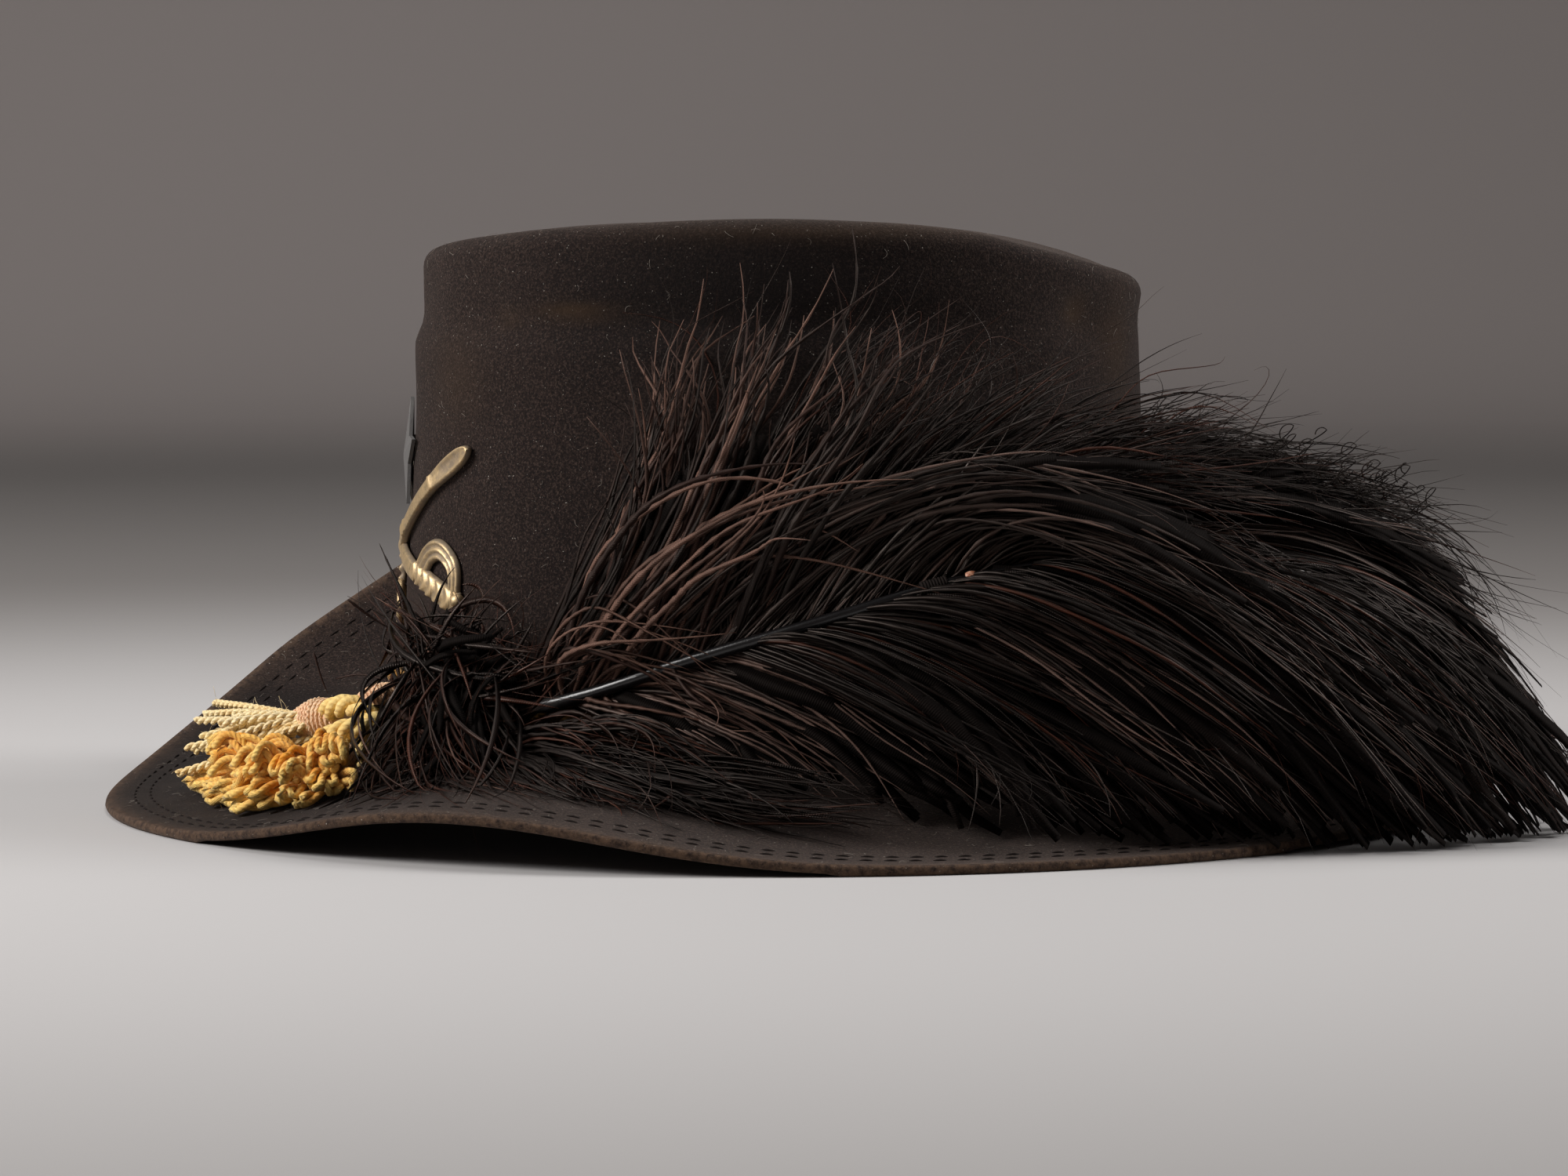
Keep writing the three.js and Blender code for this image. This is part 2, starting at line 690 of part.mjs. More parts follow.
const LOWER_BARBS = [
  { from: 0.16, midAt: 76, midUp: 0.22, midOut: 0.3, tipAt: 86, tipUp: 0.175, tipOut: 0.33 },
  { from: 0.3, midAt: 92, midUp: 0.21, midOut: 0.38, tipAt: 106, tipUp: 0.115, tipOut: 0.46 },
  { from: 0.46, midAt: 109, midUp: 0.258, midOut: 0.57, tipAt: 126, tipUp: 0.07, tipOut: 0.72 },
  { from: 0.61, midAt: 122, midUp: 0.31, midOut: 0.72, tipAt: 140, tipUp: 0.04, tipOut: 0.98 },
  { from: 0.78, midAt: 133, midUp: 0.299, midOut: 0.9, tipAt: 148, tipUp: 0.015, tipOut: 1.21 },
];
const FALLING_BARBS = [
  { from: 0.84, midAt: 138, midUp: 0.4, midOut: 0.96, tipAt: 152, tipUp: 0.01, tipOut: 1.28 },
  { from: 0.9, midAt: 146, midUp: 0.425, midOut: 1.04, tipAt: 158, tipUp: 0.01, tipOut: 1.4 },
  { from: 0.97, midAt: 153, midUp: 0.42, midOut: 1.1, tipAt: 167, tipUp: 0.01, tipOut: 1.47 },
];
const REAR_BARBS = [
  { from: 0.62, midAt: 138, midUp: 0.661, midOut: 0.29, tipAt: 152, tipUp: 0.678, tipOut: 0.54 },
  { from: 0.78, midAt: 150, midUp: 0.64, midOut: 0.5, tipAt: 163, tipUp: 0.57, tipOut: 0.93 },
  { from: 0.9, midAt: 160, midUp: 0.58, midOut: 0.68, tipAt: 172, tipUp: 0.44, tipOut: 1.14 },
  { from: 0.99, midAt: 168, midUp: 0.5, midOut: 0.85, tipAt: 180, tipUp: 0.2, tipOut: 1.3 },
];
const UNDER_BARBS = [
  { from: 0.2, midAt: 66, midUp: 0.13, midOut: 0.42, tipAt: 72, tipUp: 0.08, tipOut: 0.55 },
  { from: 0.6, midAt: 76, midUp: 0.13, midOut: 0.45, tipAt: 86, tipUp: 0.075, tipOut: 0.58 },
  { from: 1.0, midAt: 84, midUp: 0.13, midOut: 0.43, tipAt: 96, tipUp: 0.08, tipOut: 0.52 },
];
const TUFT_TIPS = [
  { at: 24, up: 0.2, out: 0.3 },
  { at: 24, up: 0.32, out: 0.2 },
  { at: 27, up: 0.41, out: 0.14 },
  { at: 38, up: 0.4, out: 0.16 },
  { at: 52, up: 0.43, out: 0.14 },
  { at: 60, up: 0.36, out: 0.2 },
  { at: 46, up: 0.13, out: 0.42 },
];
const TUFT = { at: 43, up: 0.25, out: 0.17 };

const hatHeight = seamHeight + crownHeight;
const plumePlace = (at, up, out) => place(at, up * hatHeight, out * brimWidth);
const plumePlaces = (rows) => rows.map((row) => plumePlace(row.at, row.up, row.out));
const behind = (spots, by) => spots.map((spot) => spot.clone().setZ(spot.z - by));

// Locks between the rows of a table, each from the spine through its middle to its tip.
function locksOf(spine, rows, count) {
  const curve = new THREE.CatmullRomCurve3(spine, false, "centripetal");
  const lock = { breadth: lockBreadth, depth: lockDepth, steps: 3, sides: 4, shape: pointed };
  const locks = [];
  for (let i = 0; i < count; i += 1) {
    const share = i / (count - 1);
    const from = THREE.MathUtils.lerp(rows[0].from, rows.at(-1).from, share);
    const value = (column) => straightColumn(rows, "from", column, from);
    const root = curve.getPoint(from);
    const middle = plumePlace(value("midAt"), value("midUp"), value("midOut"));
    const tip = plumePlace(value("tipAt"), value("tipUp"), value("tipOut"));
    locks.push(strand([root, middle, tip], lock));
  }
  return locks;
}

function tubeOf(spots, diameter, steps, sides = 6) {
  return strand(spots, { breadth: diameter, depth: diameter, steps, sides, shape: even });
}

const quillSpots = plumePlaces(QUILL);
const quillPath = quillSpots.slice(0, 8);
const spineBehind = (quillDiameter + spineDiameter) / 2 + clearance;

const plumeQuill = () => tubeOf(quillPath, quillDiameter, 10);

function plumeFront() {
  const spine = behind(quillSpots.slice(2), spineBehind);
  const room = tubeOf(quillPath, quillDiameter + 2 * clearance, 10);
  const tie = tubeOf(tieSpots(clearance), tieDiameter + 2 * clearance, 2, 8);
  const locks = [
    ...locksOf(spine, UPPER_BARBS, 11),
    ...locksOf(spine, LOWER_BARBS, 8),
    ...locksOf(spine, FALLING_BARBS, 5),
  ];
  return fused([tubeOf(spine, spineDiameter, 10), ...locks], [room, tie]);
}

function plumeRear() {
  const spine = plumePlaces(REAR_SPINE);
  return fused([tubeOf(spine, spineDiameter, 16), ...locksOf(spine, REAR_BARBS, 7)]);
}

function plumeUnder() {
  const spine = plumePlaces(UNDER_SPINE);
  return fused([tubeOf(spine, spineDiameter, 4), ...locksOf(spine, UNDER_BARBS, 5)]);
}

function plumeTuft() {
  const middle = plumePlace(TUFT.at, TUFT.up, TUFT.out);
  const lock = { breadth: tuftBreadth, depth: lockDepth, steps: 3, sides: 5, shape: pointed };
  const locks = TUFT_TIPS.map((row) => {
    const tip = plumePlace(row.at, row.up, row.out);
    return strand([middle, middle.clone().lerp(tip, 0.5), tip], lock);
  });
  const half = place(0, tuftBreadth * 0.6, 0);
  const spots = [middle.clone().sub(half), middle, middle.clone().add(half)];
  return fused([tubeOf(spots, tuftBreadth * 0.7, 2, 8), ...locks]);
}

// Thread tie round the quill's end, where the photo shows its cut nub.
function tieSpots(spare = 0) {
  const curve = new THREE.CatmullRomCurve3(quillPath, false, "centripetal");
  const ends = [curve.getPoint(tieShare), curve.getPoint(tieShare + 0.02)];
  const middle = ends[0].clone().lerp(ends[1], 0.5);
  const half = tieLength / 2 + spare;
  const share = half / pointAt(ends[0]).distanceTo(pointAt(ends[1]));
  const ahead = ends[1].clone().sub(ends[0]).multiplyScalar(share);
  return [middle.clone().sub(ahead), middle.clone().add(ahead)];
}

function quillTie() {
  const room = tubeOf(quillPath, quillDiameter + 2 * clearance, 10);
  return fused([tubeOf(tieSpots(), tieDiameter, 2, 8)], [room]);
}

// Clip over the edge of the looped-up side, one leg between brim and crown.
function brimClip() {
  const section = (share) => brimSection(clipAt, share);
  const edge = section(1);
  const down = section(clipShare).sub(edge);
  const length = down.length();
  down.normalize();
  const toCrown = new THREE.Vector2(down.y, -down.x);
  const corner = (aside, under) =>
    edge.clone().addScaledVector(toCrown, aside).addScaledVector(down, under);
  const near = metalSeat;
  const far = metalSeat + clipThickness;
  const outline = [
    corner(far, length),
    corner(far, -far),
    corner(-feltThickness - far, -far),
    corner(-feltThickness - far, length),
    corner(-feltThickness - near, length),
    corner(-feltThickness - near, -near),
    corner(near, -near),
    corner(near, length),
  ];
  const options = { depth: clipWidth, steps: 2, bevelEnabled: false };
  const strip = new THREE.ExtrudeGeometry(new THREE.Shape(outline), options);
  strip.translate(0, 0, -clipWidth / 2);
  return bent(strip, (corner) => {
    const turn = THREE.MathUtils.radToDeg(corner.z / (crownWidth / 2));
    return besideCrown(clipAt + turn, corner.y, corner.x);
  });
}

const FELT = new THREE.MeshStandardMaterial({ color: 0x1d1916, roughness: 1, metalness: 0 });
const WORSTED = new THREE.MeshStandardMaterial({ color: 0xd9a441, roughness: 1, metalness: 0 });
const BRASS = new THREE.MeshStandardMaterial({ color: 0xa07c3a, roughness: 0.45, metalness: 1 });
const PEWTER = new THREE.MeshStandardMaterial({ color: 0x8b8a88, roughness: 0.4, metalness: 1 });
const FEATHER = new THREE.MeshStandardMaterial({ color: 0x1c1512, roughness: 0.7, metalness: 0 });
const QUILL_HORN = new THREE.MeshStandardMaterial({ color: 0x17120f, roughness: 0.3, metalness: 0 });

const hat = new THREE.Group();

function addPiece(name, geometry, material) {
  const mesh = new THREE.Mesh(geometry, material);
  mesh.name = name;
  hat.add(mesh);
}

addPiece("felt_body", feltBody(), FELT);
addPiece("hat_cord_lower", cordRing(0), WORSTED);
addPiece("hat_cord_upper", cordRing(1), WORSTED);
addPiece("cord_slide", cordSlide(), WORSTED);
const upper = tassel(UPPER_TASSEL, UPPER_TIPS, upperLockDiameter, slideDiameter / 2);
addPiece("tassel_upper", upper, WORSTED);
const lower = tassel(LOWER_TASSEL, LOWER_TIPS, lowerLockDiameter, slideLength / 2);
addPiece("tassel_lower", lower, WORSTED);
addPiece("crossed_sabres", crossedSabres(), BRASS);
addPiece("crown_star", crownStar(), PEWTER);
addPiece("plume_quill", plumeQuill(), QUILL_HORN);
addPiece("quill_tie", quillTie(), QUILL_HORN);
addPiece("plume_front", plumeFront(), FEATHER);
addPiece("plume_rear", plumeRear(), FEATHER);
addPiece("plume_under", plumeUnder(), FEATHER);
addPiece("plume_tuft", plumeTuft(), FEATHER);
addPiece("brim_clip", brimClip(), BRASS);

// The origin is the middle of the hat's box, on the surface.
const box = new THREE.Box3().setFromObject(hat);
const middle = box.getCenter(new THREE.Vector3());
hat.position.set(-middle.x, -middle.y, -box.min.z);

export default hat;
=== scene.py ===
# %% [markdown]
# # A felt dress hat with a hat cord, crown ornaments and an ostrich plume
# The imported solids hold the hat's sizes and places. This lesson puts the looks round them: worn
# felt, twisted wool, old brass and thousands of feather barbs.
# Each piece is worked out from the hat's own sizes, so that it lies where its solid lies.

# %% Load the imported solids
import math

import bpy
import numpy as np
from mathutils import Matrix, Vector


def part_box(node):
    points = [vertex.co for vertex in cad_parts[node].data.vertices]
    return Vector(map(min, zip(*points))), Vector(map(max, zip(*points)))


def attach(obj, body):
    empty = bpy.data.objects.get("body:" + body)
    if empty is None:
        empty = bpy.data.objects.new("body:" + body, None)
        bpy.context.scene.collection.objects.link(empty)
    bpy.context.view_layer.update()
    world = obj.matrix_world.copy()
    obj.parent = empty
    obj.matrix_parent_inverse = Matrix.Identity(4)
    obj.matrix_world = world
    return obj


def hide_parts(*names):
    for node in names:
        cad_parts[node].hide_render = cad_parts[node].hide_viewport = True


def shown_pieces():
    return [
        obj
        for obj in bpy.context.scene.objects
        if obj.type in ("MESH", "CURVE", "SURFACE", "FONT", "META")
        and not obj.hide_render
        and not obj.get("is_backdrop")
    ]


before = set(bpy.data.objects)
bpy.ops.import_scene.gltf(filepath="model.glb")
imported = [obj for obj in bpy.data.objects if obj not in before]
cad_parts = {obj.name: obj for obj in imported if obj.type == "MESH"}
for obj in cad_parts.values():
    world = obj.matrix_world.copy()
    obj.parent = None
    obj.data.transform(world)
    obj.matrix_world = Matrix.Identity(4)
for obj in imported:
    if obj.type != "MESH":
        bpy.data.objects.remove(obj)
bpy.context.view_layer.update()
print("solids:", len(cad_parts))

# %% [markdown]
# ## The camera
# The photograph was taken from the wearer's left with a long lens, just above the crown's top,
# so that the crown shows almost no perspective and the brim's far side is seen a little from above.
# The camera could be placed by eye. Here its distance and height come from the ellipse that the
# near edge of the brim draws on the table, and it is tilted, because a shift of the lens would
# stay on in every other view.

# %% Set the camera
ring_low, ring_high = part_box("hat_cord_lower")
crown_middle = (ring_low + ring_high) / 2
camera_distance = 1.5
camera_height = 0.171
camera_aside = 0.0022
camera_tilt = math.radians(4.266)

camera = bpy.data.objects.new("camera", bpy.data.cameras.new("camera"))
camera.data.sensor_width = 36
camera.data.lens = 125
camera.location = (crown_middle.x + camera_aside, crown_middle.y - camera_distance, camera_height)
camera.rotation_euler = (math.pi / 2 - camera_tilt, 0, 0)
bpy.context.scene.collection.objects.link(camera)
bpy.context.scene.camera = camera
print("camera at", [round(value, 3) for value in camera.location])

# %% [markdown]
# ## Meshes from arrays
# A plume has thousands of barbs, and making them one by one with operators would take minutes.
# Numpy works out all the points at once, and foreach_set hands them to Blender in one go.
# A shape here is a dictionary of points, of sets of faces with equally many corners, and of marks,
# which are numbers on the points that the materials read.

# %% Define how an array becomes a mesh
def mesh_object(name, shape, scale=1.0, shift=(0.0, 0.0, 0.0)):
    mesh = bpy.data.meshes.new(name)
    corners = np.concatenate([faces.ravel() for faces in shape["faces"]])
    sizes = np.concatenate([np.full(len(faces), faces.shape[1]) for faces in shape["faces"]])
    places = shape["points"] * scale + np.array(shift)
    mesh.vertices.add(len(places))
    mesh.vertices.foreach_set("co", places.astype(np.float32).ravel())
    mesh.loops.add(len(corners))
    mesh.loops.foreach_set("vertex_index", corners.astype(np.int32))
    mesh.polygons.add(len(sizes))
    mesh.polygons.foreach_set("loop_start", (np.cumsum(sizes) - sizes).astype(np.int32))
    mesh.update(calc_edges=True)
    mesh.polygons.foreach_set("use_smooth", np.ones(len(sizes), bool))
    for mark, values in shape["marks"].items():
        attribute = mesh.attributes.new(mark, "FLOAT", "POINT")
        attribute.data.foreach_set("value", values.astype(np.float32).ravel())
    made = bpy.data.objects.new(name, mesh)
    bpy.context.scene.collection.objects.link(made)
    return made


def grid_faces(rows, columns, close_rows=False, close_columns=False):
    row, column = np.meshgrid(
        np.arange(rows if close_rows else rows - 1),
        np.arange(columns if close_columns else columns - 1),
        indexing="ij",
    )
    below = (row + 1) % rows * columns
    beside = (column + 1) % columns
    here = row * columns
    return np.stack([here + column, below + column, below + beside, here + beside], -1).reshape(-1, 4)


print("faces in a grid of 3 by 4 points:", len(grid_faces(3, 4)))

# %% [markdown]
# ## The stage
# The hat lies on a pale table in front of a dim backdrop, with no line between them.
# A plane with a horizon would show a line, so the floor turns up into a wall far away, all round,
# and the same stage then serves every view. The floor's paint is palest under the hat, a painted pool of
# light.

# %% Build the floor and the far wall
floor_radius = 2.3
bend_radius = 1.0
wall_top = 2.6
floor_drop = 0.0002

bend = np.linspace(0, math.pi / 2, 17)[1:]
radii = np.concatenate([[0.01, 0.2, 0.5, 0.9, 1.5, floor_radius], floor_radius + bend_radius * np.sin(bend)])
heights = np.concatenate([np.zeros(6), bend_radius * (1 - np.cos(bend))])
radii = np.append(radii, floor_radius + bend_radius)
heights = np.append(heights, wall_top)
turns = np.radians(np.arange(0, 360, 3))
stage_points = np.stack(
    [
        radii[:, None] * np.cos(turns),
        radii[:, None] * np.sin(turns),
        np.repeat(heights[:, None] - floor_drop, len(turns), axis=1),
    ],
    -1,
)
stage_shape = {
    "points": stage_points.reshape(-1, 3),
    "faces": [grid_faces(len(radii), len(turns), close_columns=True), np.arange(len(turns))[None]],
    "marks": {},
}
stage = mesh_object("stage", stage_shape)
stage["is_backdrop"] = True
print("stage faces:", len(stage.data.polygons))

# %% [markdown]
# ## Node helpers
# Every finish is made from a few kinds of node. Small functions keep the materials readable: one
# adds a node and fills or links its inputs, one gives a colour as it looks on a screen, and one
# mixes two colours.

# %% Define the node helpers
def tint(red, green, blue):
    values = [((v / 255 + 0.055) / 1.055) ** 2.4 if v > 10 else v / 255 / 12.92 for v in (red, green, blue)]
    return (*values, 1.0)


def add_node(tree, kind, inputs=None, **settings):
    made = tree.nodes.new(kind)
    for name, value in settings.items():
        setattr(made, name, value)
    for key, value in (inputs or {}).items():
        if isinstance(value, bpy.types.NodeSocket):
            tree.links.new(value, made.inputs[key])
        else:
            made.inputs[key].default_value = value
    return made


def blend(tree, share, first, second):
    made = add_node(tree, "ShaderNodeMix", {0: share, 6: first, 7: second}, data_type="RGBA")
    return made.outputs[2]


def noise(tree, scale, detail=3.0, roughness=0.6):
    place = add_node(tree, "ShaderNodeTexCoord").outputs["Object"]
    inputs = {"Vector": place, "Scale": scale, "Detail": detail, "Roughness": roughness}
    return add_node(tree, "ShaderNodeTexNoise", inputs).outputs["Fac"]


def between(tree, value, low, high, start=0.0, end=1.0):
    inputs = {0: value, 1: low, 2: high, 3: start, 4: end}
    made = add_node(tree, "ShaderNodeMapRange", inputs, interpolation_type="SMOOTHSTEP")
    return made.outputs[0]


def mark(tree, name):
    return add_node(tree, "ShaderNodeAttribute", attribute_name=name).outputs["Fac"]


def sum_of(tree, kind, first, second):
    return add_node(tree, "ShaderNodeMath", {0: first, 1: second}, operation=kind).outputs[0]


def new_finish(name, **settings):
    material = bpy.data.materials.new(name)
    material.use_nodes = True
    tree = material.node_tree
    shader = tree.nodes["Principled BSDF"]
    for socket, value in settings.items():
        shader.inputs[socket.replace("_", " ")].default_value = value
    return material, tree, shader


def bump(tree, shader, height, depth, strength=1.0):
    under = shader.inputs["Normal"].links[0].from_socket if shader.inputs["Normal"].links else None
    inputs = {"Height": height, "Distance": depth, "Strength": strength}
    if under:
        inputs["Normal"] = under
    made = add_node(tree, "ShaderNodeBump", inputs)
    tree.links.new(made.outputs["Normal"], shader.inputs["Normal"])


def striped(tree, turns):
    """A wave from -1 to 1 that comes back once for each whole turn."""
    angle = sum_of(tree, "MULTIPLY", turns, 2 * math.pi)
    return add_node(tree, "ShaderNodeMath", {0: angle}, operation="SINE").outputs[0]


print("a pale grey as the shader takes it:", [round(part, 3) for part in tint(186, 184, 184)])

# %% [markdown]
# The stage is a sheet of matt paper. One flat colour would look empty, so the paint carries painted
# shade: it gets darker away from the hat and towards the right, as the light on a real table falls off.

# %% Paint the stage
material, tree, shader = new_finish("stage_paper", Roughness=0.85)
place = add_node(tree, "ShaderNodeTexCoord").outputs["Object"]
reach = add_node(tree, "ShaderNodeVectorMath", {0: place}, operation="LENGTH").outputs["Value"]
# Painted shade: the floor's colour darkens away from the hat, standing for the light falling off.
floor_painted_falloff = blend(tree, between(tree, reach, 0.24, 0.95), tint(186, 184, 184), tint(128, 124, 122))
paint = blend(tree, between(tree, reach, 1.7, 2.7), floor_painted_falloff, tint(202, 194, 192))
# Painted shade: the colour also darkens towards the right.
aside = add_node(tree, "ShaderNodeSeparateXYZ", {0: place}).outputs["X"]
paint = blend(tree, between(tree, aside, -0.8, 2.0, 0.0, 0.5), paint, tint(110, 104, 102))
tree.links.new(paint, shader.inputs["Base Color"])
stage.data.materials.append(material)
print("nodes in the stage's paint:", len(tree.nodes))

# %% [markdown]
# ## The light
# The picture is lit softly and low: a large soft light from the upper left in front, a weaker one
# from the right that models the crown's other side, a third from above, and a dim room.
# Three area lights do this with soft shadows, and their size sets how soft the shadow's edge is.

# %% Light the scene
def softbox(name, place, size, power, colour=(1.0, 1.0, 1.0)):
    light = bpy.data.lights.new(name, "AREA")
    light.size = size
    light.energy = power
    light.color = colour
    box = bpy.data.objects.new(name, light)
    box.location = place
    aim = crown_middle - box.location
    box.rotation_euler = aim.to_track_quat("-Z", "Y").to_euler()
    bpy.context.scene.collection.objects.link(box)


softbox("key", (-1.42, -0.36, 0.95), 0.75, 31, (1.0, 0.98, 0.96))
softbox("right", (1.36, 0.0, 0.9), 0.7, 19, (1.0, 0.985, 0.97))
softbox("top", (-0.1, 0.25, 1.5), 0.8, 7, (1.0, 0.99, 0.98))
world = bpy.data.worlds.new("room")
world.use_nodes = True
world.node_tree.nodes["Background"].inputs["Color"].default_value = (0.5, 0.49, 0.48, 1)
world.node_tree.nodes["Background"].inputs["Strength"].default_value = 0.13
bpy.context.scene.world = world
bpy.context.scene.view_settings.view_transform = "Standard"

# %% [markdown]
# ## The hat's sizes
# The solids were made from these sizes in millimetres, and the fine meshes repeat them, so that
# each piece keeps the form of the solid that it stands for. A place beside the crown is given by
# an angle round it, a height over the table, and a distance out from the crown's wall.

# %% Repeat the sizes of the felt
crown_length = 205
crown_width = 168
crown_height = 135.4
brim_width = 82.5
seam_height = 26
felt_thickness = 2.3
rim_radius = 5.5
foot_radius = 3.6
pressed_flat = 0.6
clip_room = 2.2
brim_pull = 0.36 * brim_width
hat_height = seam_height + crown_height
clearance = 0.3
top_sag = 1.6


def table(columns, rows):
    values = np.array(rows, float)
    return {name: values[:, i] for i, name in enumerate(columns.split())}


def whole_turns(rows):
    made = {name: np.tile(values, 3) for name, values in rows.items()}
    made["at"] = made["at"] + np.repeat([-360, 0, 360], len(rows["at"]))
    return made


CROWN_SIDE = table(
    "up inset lean",
    [
        (0.0, 0.0, 0.0),
        (0.16, 0.004, 0.0),
        (0.42, 0.017, 0.003),
        (0.62, 0.028, 0.006),
        (0.74, 0.029, 0.003),
        (0.8, 0.043, 0.014),
        (0.86, 0.038, 0.018),
        (1.0, 0.037, 0.018),
    ],
)
CROWN_TOP = whole_turns(
    table(
        "at drop",
        [
            (0, 0.06),
            (32, 0.036),
            (52, 0.018),
            (88, 0.0),
            (106, 0.007),
            (120, 0.022),
            (134, 0.054),
            (157, 0.095),
            (180, 0.115),
            (204, 0.1),
            (228, 0.062),
            (270, 0.012),
            (310, 0.024),
            (332, 0.042),
        ],
    )
)
DENTS = [
    (147, 0.8, 9, 0.06, 1.0),
    (66, 0.8, 16, 0.05, 0.6),
    (38, 0.8, 10, 0.05, 0.5),
    (112, 0.74, 14, 0.08, 0.4),
]
BRIM = whole_turns(
    table(
        "at reach lift root edge",
        [
            (0, 0.965, 0.0, -20, -8),
            (18, 0.965, 0.0, -20, 0),
            (35, 0.965, 0.0, -20, 0),
            (50, 0.97, 0.105, -13, -8),
            (62, 0.97, 0.15, -10, -8),
            (76, 0.97, 0.085, -14, -7),
            (88, 0.965, 0.018, -18, -3),
            (98, 0.965, 0.0, -20, 1),
            (132, 0.965, 0.0, -20, 1),
            (150, 0.965, 0.02, -19, -2),
            (166, 0.965, 0.0, -20, 1),
            (202, 0.965, 0.0, -20, 1),
            (218, 0.95, 0.1, -16, 10),
            (238, 0.72, 0.52, -12, 55),
            (251, 0.25, 1.03, -10, 84),
            (262, 0, 1.2, -10, 98),
            (278, 0, 1.2, -10, 98),
            (288, 0.18, 1.12, -10, 88),
            (300, 0.5, 0.97, -11, 66),
            (313, 0.8, 0.68, -13, 44),
            (327, 0.95, 0.35, -16, 26),
            (343, 0.965, 0.09, -20, 8),
        ],
    )
)
print("rows of the brim's table:", len(BRIM["at"]) // 3)

# %% [markdown]
# The crown's wall is a tapered ellipse with a few dents, and the brim is one curve from the foot
# to the edge at each angle. Straight lines between the rows of a table would leave corners, so
# the values run through the rows on smooth curves that never overshoot them.

# %% Define a smooth column and a place beside the crown
def smooth_column(rows, key, column, where):
    known, values = rows[key], rows[column]
    rise = np.diff(values) / np.diff(known)
    slope = np.zeros(len(known))
    both = rise[:-1] * rise[1:]
    total = np.where(both > 0, rise[:-1] + rise[1:], 1)
    slope[1:-1] = np.where(both > 0, 2 * both / total, 0)
    low = np.clip(np.searchsorted(known, where, side="right") - 1, 0, len(known) - 2)
    span = known[low + 1] - known[low]
    s = np.clip((where - known[low]) / span, 0, 1)
    start = s * (1 - s) ** 2 * span * slope[low]
    end = s * s * (s - 1) * span * slope[low + 1]
    return values[low] + (values[low + 1] - values[low]) * s * s * (3 - 2 * s) + start + end


def away_from_crown(at):
    turn = np.radians(at)
    away = np.stack([-np.cos(turn) / crown_length, -np.sin(turn) / crown_width, np.zeros_like(turn)], -1)
    return away / np.linalg.norm(away, axis=-1, keepdims=True)


def beside_crown(at, height, out):
    at, height, out = np.broadcast_arrays(*[np.asarray(v, float) for v in (at, height, out)])
    up = np.clip((height - seam_height) / crown_height, 0, 1)
    inset = smooth_column(CROWN_SIDE, "up", "inset", up) * crown_length / 2
    lean = smooth_column(CROWN_SIDE, "up", "lean", up) * crown_length / 2
    depth = np.zeros_like(up)
    for dent_at, dent_up, wide, tall, deep in DENTS:
        near = np.exp(-(((at - dent_at) / wide) ** 2) - ((up - dent_up) / tall) ** 2)
        depth += deep * felt_thickness * near
    turn = np.radians(at)
    x = lean - (crown_length / 2 - inset) * np.cos(turn)
    y = -(crown_width / 2 - inset) * np.sin(turn)
    return np.stack([x, y, height], -1) + away_from_crown(at) * (out - depth)[..., None]


def eased_column(column, at):
    """The column's mean over a few degrees, so that the edge bends without a corner."""
    shifts = [(-10, 0.1), (-6, 0.2), (-2, 0.2), (2, 0.2), (6, 0.2), (10, 0.1)]
    return sum(weight * smooth_column(BRIM, "at", column, at + shift) for shift, weight in shifts)


def brim_section(at, share):
    at, share = np.broadcast_arrays(np.asarray(at, float), np.asarray(share, float))
    root = np.radians(eased_column("root", at))
    edge = np.radians(eased_column("edge", at))
    end_out = smooth_column(BRIM, "at", "reach", at) * brim_width + clip_room
    end_height = eased_column("lift", at) * brim_width + felt_thickness
    keep = (1 - share) ** 3
    pull_out = 3 * share * (1 - share) ** 2
    pull_in = 3 * share**2 * (1 - share)
    arrive = share**3
    second_out = end_out - brim_pull * np.cos(edge)
    out = pull_out * brim_pull * np.cos(root) + pull_in * second_out + arrive * end_out
    first = seam_height + brim_pull * np.sin(root)
    second = end_height - brim_pull * np.sin(edge)
    height = keep * seam_height + pull_out * first + pull_in * second + arrive * end_height
    return out, height


def brim_point(at, share):
    out, height = brim_section(at, share)
    return beside_crown(at, np.maximum(height, felt_thickness), out)


edge_now = brim_point(np.arange(0, 360, 1.0), 1.0)
print("brim edge reaches", edge_now.min(0).round(1), edge_now.max(0).round(1))

# %% [markdown]
# ## How pieces are added
# Points are worked out in millimetres from the crown's middle. One function turns a shape into a
# mesh in metres at its place in the frame, gives it its finish, hangs it on the root body, and
# hides the plain solids that it stands for.

# %% Define pieces and joined shapes
MM = 0.001


def join_shapes(shapes):
    points, faces, marks, start = [], {}, {}, 0
    for shape in shapes:
        points.append(shape["points"])
        for one in shape["faces"]:
            faces.setdefault(one.shape[1], []).append(one + start)
        for name, values in shape["marks"].items():
            marks.setdefault(name, []).append(values)
        start += len(shape["points"])
    return {
        "points": np.concatenate(points),
        "faces": [np.concatenate(sets) for sets in faces.values()],
        "marks": {name: np.concatenate(values) for name, values in marks.items()},
    }


def add_piece(name, shape, finish, stands_for=()):
    made = mesh_object(name, shape, MM, (crown_middle.x, crown_middle.y, 0))
    made.data.materials.append(finish)
    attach(made, "root")
    if stands_for:
        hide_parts(*stands_for)
    triangles = sum(len(faces) * (faces.shape[1] - 2) for faces in shape["faces"])
    print(name, "has", triangles, "triangles")
    return made


# %% [markdown]
# ## The felt
# Crown and brim of the real hat are one piece of blocked fur felt, a little over two millimetres
# thick. It could be a lathe shape that is pushed about, but the sides are all different, so it is
# a grid: upright lines from the middle of the top over the rim and down the wall to the brim's edge.
# The inside is the same grid moved in by the felt's thickness, and the cut edge is slightly round.

